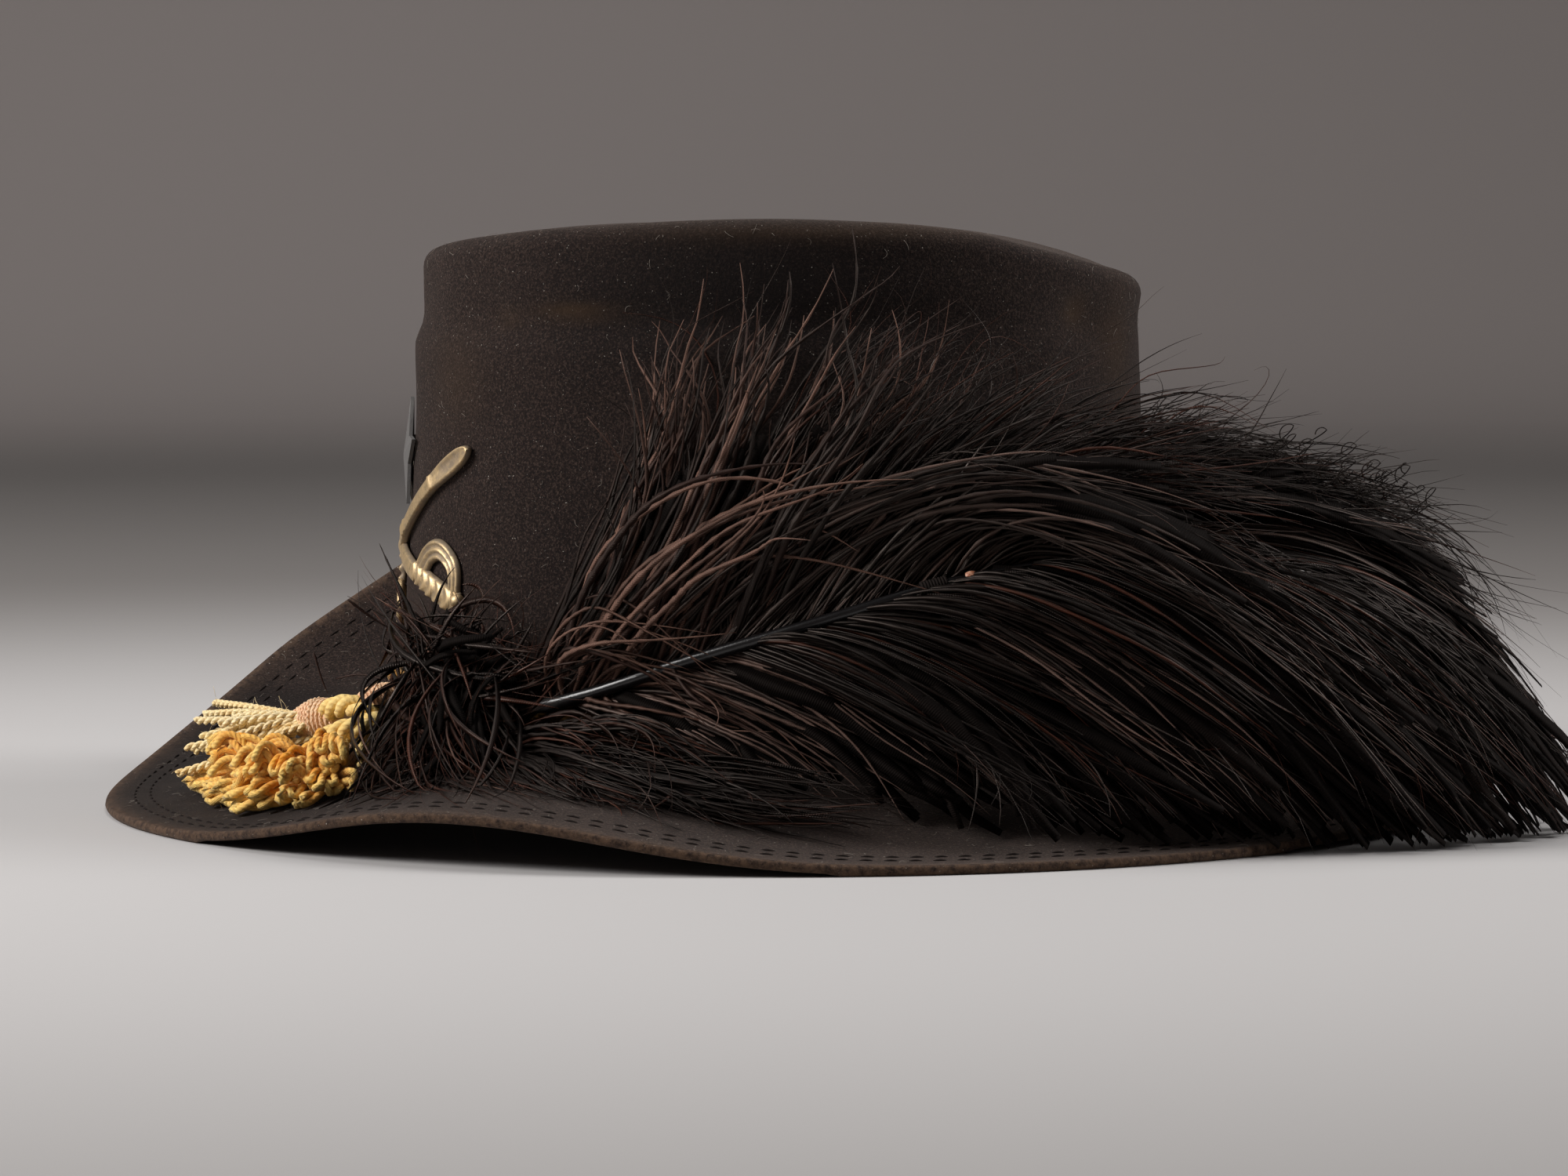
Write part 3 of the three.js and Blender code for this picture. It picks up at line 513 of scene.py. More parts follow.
# %% Work out the felt's outside
felt_columns = 264
top_steps = 12
rim_steps = 6
wall_steps = 46
brim_steps = 34
foot_steps = 5
edge_bulge = 0.5
worn_width = 2.2


def gentle_waves(at, height):
    turn = np.radians(at)
    broad = np.sin(3 * turn + height / 31) + 0.7 * np.sin(5 * turn - height / 23 + 1.3)
    small = 0.5 * np.sin(11 * turn + height / 9.5 + 0.4) + 0.4 * np.sin(17 * turn - height / 7 + 2.1)
    return 0.16 * (broad + small)


CREASES = [
    (40, 136.0, 1.6, 0.9, 0.55),
    (43, 138.3, 2.2, 0.7, -0.35),
    (44.5, 135.2, 1.2, 0.8, 0.4),
    (70, 137.6, 6.5, 0.9, 0.75),
    (71, 139.6, 6.0, 0.8, -0.45),
    (86, 137.8, 7.0, 0.8, 0.35),
    (144, 137.0, 2.6, 2.4, 0.5),
    (128, 120.0, 1.0, 9.0, 0.4),
]


def crease_depth(at, height):
    depth = np.zeros(np.broadcast(at, height).shape)
    for crease_at, level, wide, tall, deep in CREASES:
        depth += deep * np.exp(-(((at - crease_at) / wide) ** 2) - ((height - level) / tall) ** 2)
    return depth


def felt_outside(at):
    at = at[:, None]
    drop = smooth_column(CROWN_TOP, "at", "drop", at) * crown_height
    shoulder = hat_height - drop - rim_radius
    shares = np.linspace(0, 1, top_steps + 1)[1:]
    middle = np.array([CROWN_SIDE["lean"][-1] * crown_length / 2, 0, hat_height - top_sag])
    rim_start = beside_crown(at, shoulder, -rim_radius)
    top = middle + (rim_start - middle) * shares[None, :, None]
    ripple = 1.2 * gentle_waves(at, 60 * shares) * shares * (1 - shares)
    top[..., 2] = hat_height - top_sag * (1 - shares**2) - drop * shares**3 + ripple
    turns = np.radians(np.linspace(0, 90, rim_steps + 1))[1:]
    rim = beside_crown(at, shoulder, rim_radius * (np.sin(turns) - 1))
    rim[..., 2] = shoulder + rim_radius * np.cos(turns)
    foot_top = seam_height + foot_radius
    levels = shoulder + (foot_top - shoulder) * np.linspace(0, 1, wall_steps + 1)[1:]
    fade = np.sin(math.pi * np.clip((shoulder - levels) / 12, 0, 0.5))
    soft = gentle_waves(at, levels) * fade - crease_depth(at, levels)
    wall = beside_crown(at, levels, soft)
    first_share = 0.07
    out, height = brim_section(at, first_share)
    s = np.linspace(0, 1, foot_steps + 1)[1:-1]
    foot_out = s**2 * out
    foot_height = (1 - s) ** 2 * foot_top + 2 * s * (1 - s) * seam_height + s**2 * height
    foot = beside_crown(at, foot_height, foot_out)
    brim = brim_point(at, np.linspace(first_share, 1, brim_steps + 1))
    return np.concatenate([top, rim, wall, foot, brim], axis=1)


felt_at = np.arange(felt_columns) * 360 / felt_columns
outside = felt_outside(felt_at)
print("felt grid:", outside.shape)

# %% [markdown]
# A sheet without thickness looks like paper at its edge. Blender's Solidify could thicken it, but
# the inside also has to lie flat on the table where the brim rests, so it is made here. Each point
# carries marks that say how worn and stained the felt is there, and how much painted shade it gets.

# %% Give the felt its inside and close it
STAINS = [
    (56, 137, 7, 2.2, 0.9),
    (42, 135, 3, 2.5, 0.4),
    (144, 137, 3.5, 4.0, 0.9),
    (157, 128, 6, 14, 0.5),
    (30, 118, 8, 12, 0.35),
    (96, 158, 30, 2.5, 0.5),
]


def grid_normals(lines):
    beside = np.roll(lines, -1, axis=0) - np.roll(lines, 1, axis=0)
    down = np.gradient(lines, axis=1)
    normals = np.cross(down, beside)
    return normals / np.maximum(np.linalg.norm(normals, axis=-1, keepdims=True), 1e-9)


def felt_shape(lines):
    normals = grid_normals(lines)
    inside = lines - normals * felt_thickness
    inside[..., 2] = np.where(inside[..., 2] < pressed_flat, 0, inside[..., 2])
    forward = lines[:, -1] - lines[:, -2]
    forward /= np.linalg.norm(forward, axis=-1, keepdims=True)
    edge = []
    for share in (0.2, 0.5, 0.8):
        bulge = edge_bulge * math.sin(math.pi * share)
        edge.append(lines[:, -1] * (1 - share) + inside[:, -1] * share + forward * bulge)
    edge = np.stack(edge, axis=1)
    sections = np.concatenate([lines, edge, inside[:, ::-1]], axis=1)
    columns, rows = sections.shape[:2]
    grid = sections.transpose(1, 0, 2).reshape(-1, 3)
    middle_x = CROWN_SIDE["lean"][-1] * crown_length / 2
    top_middle = hat_height - top_sag
    poles = np.array([[middle_x, 0, top_middle], [middle_x, 0, top_middle - felt_thickness]])
    ring = np.arange(columns)
    after = (ring + 1) % columns
    first = len(grid)
    last_row = (rows - 1) * columns
    fans = [
        np.stack([np.full(columns, first), ring, after], -1),
        np.stack([np.full(columns, first + 1), last_row + after, last_row + ring], -1),
    ]
    length = np.linalg.norm(np.diff(lines, axis=1), axis=-1)
    from_edge = np.concatenate([length[:, ::-1].cumsum(1)[:, ::-1], np.zeros((columns, 1))], axis=1)
    outer = np.exp(-from_edge / worn_width)
    wear = np.concatenate([outer, np.ones((columns, 3)), outer[:, ::-1]], axis=1)
    at = np.broadcast_to(felt_at[:, None], wear.shape)
    height = sections[..., 2]
    stain = np.zeros_like(wear)
    for stain_at, level, wide, tall, strength in STAINS:
        stain += strength * np.exp(-(((at - stain_at) / wide) ** 2) - ((height - level) / tall) ** 2)
    # Painted shade: the middle of the crown's top and the front of the brim, away from its worn edge, are
    # darkened in the colour.
    shade = 0.75 * np.exp(-(((at - 84) / 30) ** 2) - ((height - 142) / 22) ** 2)
    in_front = np.clip(np.cos(np.radians(at)), 0, 1) ** 2
    shade += 0.97 * in_front * np.clip((seam_height - height) / 4, 0, 1) * (1 - wear)
    marks = {
        "edge_wear": np.append(wear.T.ravel(), [0, 0]),
        "stain": np.append(stain.T.ravel(), [0, 0]),
        "shade": np.append(shade.T.ravel(), [0, 0]),
    }
    return {
        "points": np.concatenate([grid, poles]),
        "faces": [grid_faces(rows, columns, close_columns=True), np.concatenate(fans)],
        "marks": marks,
    }


felt_parts = felt_shape(outside)
print("felt points:", len(felt_parts["points"]))

# %% [markdown]
# Felt is a mat of short fibres: it has no weave, hardly any shine, and a soft bloom where light
# grazes it. Age has turned the cut edge and the worn places brown, and dust lies on what faces up.
# The finish is layers of noise: broad clouds of colour, a fine nap, and pale specks of lint, with
# marks on the mesh saying where the edge and the stains are, and where painted shade darkens the felt.

# %% Mix the felt's finish
def felt_finish():
    material, tree, shader = new_finish(
        "worn_felt", Roughness=0.95, Sheen_Weight=0.12, Sheen_Roughness=0.4, Sheen_Tint=(0.75, 0.62, 0.55, 1)
    )
    shader.inputs["Specular IOR Level"].default_value = 0.2
    clouds = between(tree, noise(tree, 17, 5, 0.6), 0.3, 0.72)
    nap = noise(tree, 1500, 3, 0.8)
    colour = blend(tree, clouds, tint(25, 16, 14), tint(35, 25, 22))
    colour = blend(tree, between(tree, nap, 0.48, 0.68, 0.0, 0.6), colour, tint(80, 65, 58))
    colour = blend(tree, between(tree, nap, 0.5, 0.36, 0.0, 0.75), colour, tint(9, 6, 6))
    # Painted shade: the shade mark blends the felt towards near black.
    colour = blend(tree, mark(tree, "shade"), colour, tint(12, 8, 8))
    colour = blend(tree, sum_of(tree, "MULTIPLY", mark(tree, "stain"), 0.8), colour, tint(58, 42, 27))
    uneven = between(tree, noise(tree, 520, 5), 0.25, 0.7)
    rubbed = sum_of(tree, "MULTIPLY", mark(tree, "edge_wear"), uneven)
    colour = blend(tree, rubbed, colour, tint(86, 67, 53))
    normal = add_node(tree, "ShaderNodeNewGeometry").outputs["Normal"]
    upward = add_node(tree, "ShaderNodeSeparateXYZ", {0: normal}).outputs["Z"]
    patches = between(tree, noise(tree, 60, 6, 0.7), 0.4, 0.75)
    dusty = sum_of(tree, "MULTIPLY", between(tree, upward, 0.3, 0.95), patches)
    colour = blend(tree, sum_of(tree, "MULTIPLY", dusty, 0.12), colour, tint(84, 72, 66))
    specks = between(tree, noise(tree, 1700, 1, 0.5), 0.73, 0.8)
    colour = blend(tree, sum_of(tree, "MULTIPLY", specks, 0.6), colour, tint(186, 178, 168))
    tree.links.new(colour, shader.inputs["Base Color"])
    bump(tree, shader, noise(tree, 240, 4, 0.6), 0.0005, 0.35)
    bump(tree, shader, nap, 0.00035, 0.8)
    return material


FELT = felt_finish()
add_piece("felt", felt_parts, FELT, ["felt_body"])

# %% [markdown]
# ## Tubes
# Stitches, yarns, wires and barbs are all tubes along paths. One function makes rings of points
# round many paths at once; the direction called lift says which way the flat side of a thin ribbon
# looks.

# %% Define tubes along paths
def unit(vectors):
    return vectors / np.maximum(np.linalg.norm(vectors, axis=-1, keepdims=True), 1e-9)


def along_paths(paths, looped=False):
    if looped:
        return unit(np.roll(paths, -1, axis=-2) - np.roll(paths, 1, axis=-2))
    return unit(np.gradient(paths, axis=-2))


def tube_rings(paths, halves, sides, lift, thin=1.0, looped=False):
    ahead = along_paths(paths, looped)
    lift = np.broadcast_to(lift, paths.shape)
    lift = unit(lift - ahead * np.sum(lift * ahead, -1, keepdims=True))
    across = np.cross(ahead, lift)
    turns = 2 * math.pi * np.arange(sides)[:, None] / sides
    around = np.cos(turns) * across[..., None, :] + thin * np.sin(turns) * lift[..., None, :]
    return paths[..., None, :] + np.broadcast_to(halves, paths.shape[:-1])[..., None, None] * around


def shape_from_rings(rings, looped=False, tone=0.5, turn=None):
    count, steps, sides = rings.shape[:3]
    one = grid_faces(steps, sides, close_rows=looped, close_columns=True)
    starts = (np.arange(count) * steps * sides)[:, None, None]
    faces = [(one + starts).reshape(-1, 4)]
    if not looped:
        caps = np.stack([np.arange(sides), (steps - 1) * sides + np.arange(sides)[::-1]])
        faces.append((caps + starts).reshape(-1, sides))
    length = np.linalg.norm(np.diff(rings.mean(2), axis=1), axis=-1).cumsum(1)
    length = np.concatenate([np.zeros((count, 1)), length], axis=1)
    shape = (count, steps, sides)
    turn = np.arange(sides) / sides if turn is None else np.array(turn)
    marks = {
        "along": np.broadcast_to(length[..., None], shape).ravel(),
        "share": np.broadcast_to((length / length[:, -1:])[..., None], shape).ravel(),
        "turn": np.broadcast_to(turn, shape).ravel(),
        "tone": np.broadcast_to(np.reshape(tone, (-1, 1, 1)), shape).ravel(),
    }
    return {"points": rings.reshape(-1, 3), "faces": faces, "marks": marks}


def tubes(paths, halves, sides=6, lift=(0, 0, 1), thin=1.0, looped=False, tone=0.5):
    rings = tube_rings(paths, halves, sides, np.asarray(lift, float), thin, looped=looped)
    return shape_from_rings(rings, looped, tone)


straight = np.linspace([0.0, 0.0, 0.0], [10.0, 0.0, 0.0], 5)
print("points in a tube with 5 rings:", len(tubes(straight[None], 1.0)["points"]))

# %% [markdown]
# ## The stitches round the brim
# Two rows of running stitches hold the brim's edge, about 8 and 12.5 mm in. A stitch shows as a
# short dark dash on one side and then on the other. Each is a small bowed thread that dips into
# the felt at both ends, set out at even steps along the real curve of the brim.

# %% Sew the brim
stitch_step = 6.2
stitch_length = 3.3
thread_radius = 0.3
stitch_rows_at = (0.912, 0.863)


def row_on_brim(share, under):
    at = np.arange(0, 360, 0.25)
    line = brim_point(at, share)
    nearer = brim_point(at, share - 0.02)
    across = line - nearer
    onward = np.roll(line, -1, axis=0) - np.roll(line, 1, axis=0)
    normal = unit(np.cross(across, onward))
    if under:
        line = line - normal * felt_thickness
        normal = -normal
    return line, normal


def stitches(share, under):
    line, normal = row_on_brim(share, under)
    step = np.linalg.norm(np.roll(line, -1, axis=0) - line, axis=-1)
    length = np.concatenate([[0], step.cumsum()])
    count = int(length[-1] // stitch_step)
    starts = (np.arange(count) + (0.5 if under else 0)) * length[-1] / count
    spots = (starts[:, None] + np.linspace(0, stitch_length, 5)) % length[-1]
    closed = np.concatenate([line, line[:1]])
    normals = np.concatenate([normal, normal[:1]])
    paths = np.stack([np.interp(spots, length, closed[:, i]) for i in range(3)], -1)
    lifts = np.stack([np.interp(spots, length, normals[:, i]) for i in range(3)], -1)
    rise = 0.3 * np.sin(np.linspace(0, math.pi, 5)) - 0.14
    paths = paths + lifts * rise[None, :, None]
    keep = paths[..., 2].min(1) > thread_radius if under else np.full(count, True)
    return tubes(paths[keep], thread_radius, 4, lifts[keep])


stitch_rows = [stitches(share, under) for share in stitch_rows_at for under in (False, True)]


def thread_finish():
    material, tree, shader = new_finish("dark_thread", Roughness=0.8, Base_Color=tint(26, 19, 16))
    shader.inputs["Specular IOR Level"].default_value = 0.15
    return material


THREAD = thread_finish()
add_piece("brim_stitches", join_shapes(stitch_rows), THREAD)

# %% [markdown]
# Dust and lint have settled on the hat over the years. The lint is a scatter of tiny curled pale
# fibres, most of them on the brim's top and along the crown's rim, where nobody brushed.

# %% Scatter the lint
lint_chance = np.random.default_rng(66)


def lint(count, rows, low, high):
    column = lint_chance.integers(0, felt_columns, count)
    row = lint_chance.integers(low, high, count)
    root = rows[column, row] + lint_chance.normal(0, 0.4, (count, 3)) * (1, 1, 0)
    normal = grid_normals(rows)[column, row]
    flat = unit(np.cross(normal, lint_chance.normal(0, 1, (count, 3))))
    bend = unit(np.cross(normal, flat)) * lint_chance.normal(0, 0.5, (count, 1))
    t = np.linspace(-1, 1, 5)[None, :, None]
    length = lint_chance.uniform(0.5, 1.7, (count, 1, 1))
    rise = 0.16 + 0.25 * (1 - t * t) * lint_chance.uniform(0, 1, (count, 1, 1))
    paths = root[:, None] + length * (flat[:, None] * t + bend[:, None] * t * t) + normal[:, None] * rise
    return tubes(paths, lint_chance.uniform(0.03, 0.06, (count, 1)), 3, normal[:, None])


wall_end = top_steps + rim_steps + wall_steps
on_crown = lint(360, outside, top_steps, wall_end)
on_brim_top = lint(700, outside, wall_end + 8, outside.shape[1] - 1)
LINT = new_finish("lint", Roughness=0.8, Base_Color=tint(128, 119, 110))[0]
add_piece("lint", join_shapes([on_crown, on_brim_top]), LINT)

# %% [markdown]
# ## Wool
# The hat cord and the tassels are worsted wool: fine threads twisted into yarns, and yarns laid
# together into cords. Twisting one tube with a picture of a rope on it looks flat from the side,
# so the plies are real tubes that wind round each other, and only the threads in a ply are bump,
# with painted shade darkening the grooves between them.

# %% Mix the wool's finishes
def wool_finish(name, light, deep, bright, pale_loops=0.0):
    material, tree, shader = new_finish(
        name, Roughness=0.85, Sheen_Weight=0.45, Sheen_Roughness=0.4, Sheen_Tint=(1, 0.82, 0.55, 1)
    )
    shader.inputs["Specular IOR Level"].default_value = 0.25
    twist = sum_of(tree, "MULTIPLY", mark(tree, "turn"), 3.0)
    twist = sum_of(tree, "ADD", twist, sum_of(tree, "MULTIPLY", mark(tree, "along"), 0.62))
    threads = between(tree, striped(tree, twist), -1.0, 0.9)
    colour = blend(tree, between(tree, noise(tree, 130, 4), 0.3, 0.7), light, deep)
    colour = blend(tree, sum_of(tree, "MULTIPLY", mark(tree, "tone"), 0.6), colour, bright)
    from_bend = sum_of(tree, "ABSOLUTE", sum_of(tree, "SUBTRACT", mark(tree, "share"), 0.5), 0.0)
    colour = blend(tree, between(tree, from_bend, 0.14, 0.0, 0.0, pale_loops), colour, bright)
    # Painted shade: a darker colour laid into the grooves between the threads.
    shade = blend(tree, 0.35, deep, tint(70, 34, 10))
    colour = blend(tree, between(tree, threads, 0.45, 0.0, 0.0, 0.25), colour, shade)
    tree.links.new(colour, shader.inputs["Base Color"])
    bump(tree, shader, threads, 0.00025, 0.7)
    bump(tree, shader, noise(tree, 1900, 3, 0.7), 0.0003, 0.7)
    return material


STRAW = wool_finish("straw_wool", tint(255, 234, 180), tint(250, 212, 142), tint(255, 242, 206))
BUTTER = wool_finish("butter_wool", tint(248, 218, 140), tint(238, 194, 104), tint(252, 232, 170))
GOLD = wool_finish("golden_wool", tint(244, 174, 60), tint(218, 126, 20), tint(255, 222, 132), 0.75)
SALMON = wool_finish("salmon_wool", tint(255, 216, 172), tint(255, 192, 146), tint(255, 230, 200))
OCHRE = wool_finish("ochre_wool", tint(150, 104, 42), tint(104, 66, 24), tint(176, 130, 64))
print("wools:", [finish.name for finish in (STRAW, BUTTER, GOLD, SALMON, OCHRE)])

# %% [markdown]
# A cord is laid up from plies. A spiral made by Blender's Screw modifier can't follow a free
# path, so each ply is a tube whose own path winds round the cord's path. The ply's radius is such
# that neighbours press on each other a little, as wool does.

# %% Define twisted cords
ply_press = 1.08


def twisted(path, lift, diameter, plies, pitch, looped=False, sides=6, tone=0.5, spin=0.0):
    """Plies wound round each other along one path; lift gives a direction across the path."""
    ahead = along_paths(path, looped)
    lift = unit(lift - ahead * np.sum(lift * ahead, -1, keepdims=True))
    across = np.cross(ahead, lift)
    step = np.linalg.norm(np.diff(path, axis=0), axis=-1)
    length = np.concatenate([[0], step.cumsum()])
    if looped:
        whole = length[-1] + np.linalg.norm(path[0] - path[-1])
        pitch = whole / max(round(whole / pitch), 1)
    shrink = math.sin(math.pi / plies)
    ply_radius = diameter / 2 * shrink / (1 + shrink) * ply_press
    offset = diameter / 2 - ply_radius
    paths = []
    for ply in range(plies):
        turn = 2 * math.pi * (length / pitch + ply / plies) + spin
        paths.append(path + offset * (np.cos(turn)[:, None] * across + np.sin(turn)[:, None] * lift))
    return tubes(np.stack(paths), ply_radius, sides, lift, looped=looped, tone=np.full(plies, tone))


trial = twisted(straight, np.array([0.0, 0.0, 1.0]), 4.0, 3, 10)
print("plies in a trial cord of three:", len(trial["points"]) // (len(straight) * 6))

# %% [markdown]
# ## The double hat cord
# Two strands of cord run round the foot of the crown, one on the other. Under the plume only
# glimpses of dull ochre show, and the back and the far side show them whole.

# %% Lay the cord round the crown
cord_diameter = 4.8
cord_pitch = 13
cord_samples = 560


def cord_ring(strand):
    at = np.arange(cord_samples) * 360 / cord_samples
    radius = cord_diameter / 2
    lowest = seam_height + radius + foot_radius * 0.3 + clearance
    sag = 0.35 * np.sin(np.radians(3 * at + 40 * strand)) + 0.25 * np.sin(np.radians(7 * at))
    height = lowest + strand * (cord_diameter + clearance) + 0.3 + sag * 0.8
    path = beside_crown(at, height, radius + clearance)
    return twisted(path, away_from_crown(at), cord_diameter, 3, cord_pitch, looped=True, spin=strand * 1.1)


for strand, name in enumerate(["hat_cord_lower", "hat_cord_upper"]):
    add_piece(name.replace("hat_cord", "cord"), cord_ring(strand), OCHRE, [name])

# %% [markdown]
# Knots, tassels and barbs lie on the brim. Physics could drop them there, but it would take
# minutes, and the result would change with every change above it. So the brim's height is kept as
# a grid, and a place that is too low or too near is moved out to the surface.

# %% Define places over the brim
brim_grid_at = np.arange(-30, 231, 2.0)
brim_grid_out = np.arange(0, 84, 1.0)


def brim_heights():
    shares = np.linspace(0, 1, 60)
    rows = []
    for at in brim_grid_at:
        out, height = brim_section(at, shares)
        rows.append(np.interp(brim_grid_out, out, np.maximum(height, felt_thickness), right=0.0))
    return np.array(rows)


BRIM_HEIGHTS = brim_heights()
print("the brim rises to", BRIM_HEIGHTS.max().round(1), "mm here")


def brim_top(at, out):
    column = np.clip((at - brim_grid_at[0]) / 2, 0, len(brim_grid_at) - 1.001)
    row = np.clip(out, 0, len(brim_grid_out) - 1.001)
    i, j = column.astype(int), row.astype(int)
    s, t = column - i, row - j
    near = BRIM_HEIGHTS[i, j] * (1 - t) + BRIM_HEIGHTS[i, j + 1] * t
    far = BRIM_HEIGHTS[i + 1, j] * (1 - t) + BRIM_HEIGHTS[i + 1, j + 1] * t
    under = near * (1 - s) + far * s
    edge = np.interp(at, brim_grid_at, np.where(BRIM_HEIGHTS > 0, brim_grid_out, 0).max(1))
    return np.where(out > edge + 1, 0.0, under)


def keep_clear(spots, half):
    """Places moved out of the crown, the brim and the table by at least half a thickness."""
    at, height, out = spots[..., 0], spots[..., 1], spots[..., 2]
    out = np.maximum(out, half + 0.2)
    height = np.maximum(height, brim_top(at, out) + half + 0.15)
    return np.stack([at, height, out], -1)


def spots_to_points(spots):
    return beside_crown(spots[..., 0], spots[..., 1], spots[..., 2])


def on_brim(rows):
    rows = np.asarray(rows, float)
    out = rows[..., 1] * brim_width
    return np.stack([rows[..., 0], brim_top(rows[..., 0], out) + rows[..., 2] * brim_width, out], -1)


def smooth_path(points, samples):
    """A curve through points, by Catmull and Rom's rule, at even steps of its own parameter."""
    points = np.asarray(points, float)
    padded = np.concatenate([2 * points[:1] - points[1:2], points, 2 * points[-1:] - points[-2:-1]])
    where = np.linspace(0, len(points) - 1, samples)
    low = np.minimum(where.astype(int), len(points) - 2)
    t = (where - low)[:, None]
    a, b, c, d = (padded[low + i] for i in range(4))
    return 0.5 * (2 * b + (c - a) * t + (2 * a - 5 * b + 4 * c - d) * t**2 + (3 * b - a - 3 * c + d) * t**3)


# %% [markdown]
# ## The tassels
# Both ends of the cord leave it through a twisted knot, and each ends in a tassel. The upper one
# is pale straw: a head wound with salmon wool, and thin two-ply cords that fan out to the front.
# The lower one is a thick brush of soft golden loops. Every cord and loop is its own twisted tube,
# and they are spread over the same tips that the solid tassels have.

# %% Tie the knots between cord and tassels
rng = np.random.default_rng(1858)


def brim_cord(rows, diameter, plies, pitch, samples=90, tone=0.5, sides=6):
    spots = keep_clear(smooth_path(on_brim(rows), samples), diameter / 2)
    path = spots_to_points(spots)
    lift = away_from_crown(spots[:, 0]) + [0, 0, 0.6]
    return twisted(path, lift, diameter, plies, pitch, tone=tone, sides=sides)


def wound_head(start, end, widest, turns, thickness, tone=0.5):
    """Yarn wound tightly round a barrel from one place to another."""
    samples = turns * 22
    share = np.linspace(0, 1, samples)
    ends = spots_to_points(on_brim([start, end]))
    ahead = unit(ends[1] - ends[0])
    lift = unit(np.cross(ahead, [0, 0, 1.0]))
    across = np.cross(ahead, lift)
    radius = widest / 2 * (0.55 + 0.45 * np.sin(math.pi * (0.12 + 0.76 * share))) - thickness / 2
    turn = 2 * math.pi * turns * share
    centre = ends[0] + (ends[1] - ends[0]) * share[:, None]
    path = centre + radius[:, None] * (np.cos(turn)[:, None] * lift + np.sin(turn)[:, None] * across)
    wound = twisted(path, path - centre, thickness, 2, 3.2, tone=tone, sides=5)
    core_share = np.linspace(0, 1, 9)
    core = ends[0] + (ends[1] - ends[0]) * core_share[:, None]
    core_half = np.interp(core_share, share, radius)
    return join_shapes([wound, tubes(core[None], core_half[None], 12, lift, tone=[tone])])


loop_over = [(33, 0.28, 0.12), (29, 0.33, 0.2), (24.5, 0.36, 0.19), (23, 0.33, 0.15)]
loop_under = [(32, 0.3, 0.1), (32, 0.38, 0.155), (28, 0.43, 0.13), (26.5, 0.4, 0.09), (29, 0.36, 0.09)]
down_cord = [(32, 0.33, 0.1), (33, 0.4, 0.07), (34, 0.47, 0.07)]
knot_parts = [
    brim_cord(loop_over, 6.4, 3, 13),
    brim_cord(loop_under, 6.2, 3, 13, tone=0.4),
    brim_cord(down_cord, 4.2, 3, 9, 60, tone=0.9),
    brim_cord([(30.5, 0.31, 0.045), (32.5, 0.35, 0.03)], 4.6, 3, 8, 24, tone=0.7),
    brim_cord([(31.5, 0.4, 0.05), (34, 0.43, 0.03)], 4.4, 3, 8, 24, tone=0.7),
]
add_piece("slide_knot", join_shapes(knot_parts), BUTTER, ["cord_slide"])
add_piece("slide_stem", wound_head((31.5, 0.21, 0.19), (29.5, 0.31, 0.2), 8.5, 9, 1.5), SALMON)

# %% [markdown]
# The upper tassel's cords are straight and a little stiff. A particle system would spread them
# evenly. Here each one starts at the head, rises slightly and comes down near one of five tips,
# which gives the loose fan of the real tassel.

# %% Hang the upper tassel
UPPER_HEAD = (22, 0.339, 0.145)
UPPER_TIPS = [(17, 0.64, 0.17), (13, 0.69, 0.2), (9, 0.72, 0.18), (5, 0.66, 0.21), (12, 0.75, 0.14)]


def fan_of_cords(head, tips, count, diameter, plies, pitch, samples, spread, rise, tone):
    tips = np.array(tips)
    made = []
    for i in range(count):
        near = tips[i % len(tips)] + rng.normal(0, 1, 3) * spread
        near[2] = max(near[2], 0.03)
        start = np.array(head) + rng.normal(0, 1, 3) * (0.8, 0.02, 0.012)
        bend = start * 0.45 + near * 0.55 + (0, 0, rise * rng.uniform(0.4, 1.2))
        end = start + (near - start) * rng.uniform(0.86, 1.03)
        spots = keep_clear(smooth_path(on_brim([start, bend, end]), samples), diameter / 2)
        path = spots_to_points(spots)
        lift = away_from_crown(spots[:, 0]) + [0, 0, 0.5]
        shade = rng.uniform(*tone)
        spin = rng.uniform(0, 6)
        made.append(twisted(path, lift, diameter, plies, pitch, tone=shade, sides=5, spin=spin))
    return made


def fuzz(cords, count, length):
    """Fine hairs that stand off the yarns in all directions."""
    points = np.concatenate([cord["points"] for cord in cords])
    middle = points.mean(0)
    roots = points[rng.integers(0, len(points), count)]
    ahead = unit(unit(roots - middle) + rng.normal(0, 0.8, (count, 3)))
    curl = rng.normal(0, 0.7, (count, 3))
    t = np.linspace(0, 1, 5)[None, :, None]
    reach = length * rng.uniform(0.4, 1.2, (count, 1, 1))
    paths = roots[:, None] + reach * (ahead[:, None] * t + curl[:, None] * t * t)
    paths[..., 2] = np.maximum(paths[..., 2], 3.0)
    return tubes(paths, 0.055, 3, [0.3, 0.2, 1.0], tone=rng.uniform(0.5, 1.0, count))


upper_cords = fan_of_cords(UPPER_HEAD, UPPER_TIPS, 20, 2.6, 2, 5.2, 60, (1.8, 0.03, 0.04), 0.03, (0.1, 0.9))
upper_parts = [*upper_cords, fuzz(upper_cords, 160, 2.6)]
add_piece("upper_tassel", join_shapes(upper_parts), STRAW, ["tassel_upper"])
upper_head = wound_head((24.5, 0.32, 0.15), (18.5, 0.4, 0.155), 12.5, 11, 1.6)
add_piece("upper_tassel_head", upper_head, SALMON)

# %% [markdown]
# The lower tassel is soft and thick. Its yarns are doubled loops in layers: the first two layers
# run from the head to the edge, and the others are short loops on top of them, so that round ends
# show all over the tassel. A doubled path that closes in a half circle makes each loop.

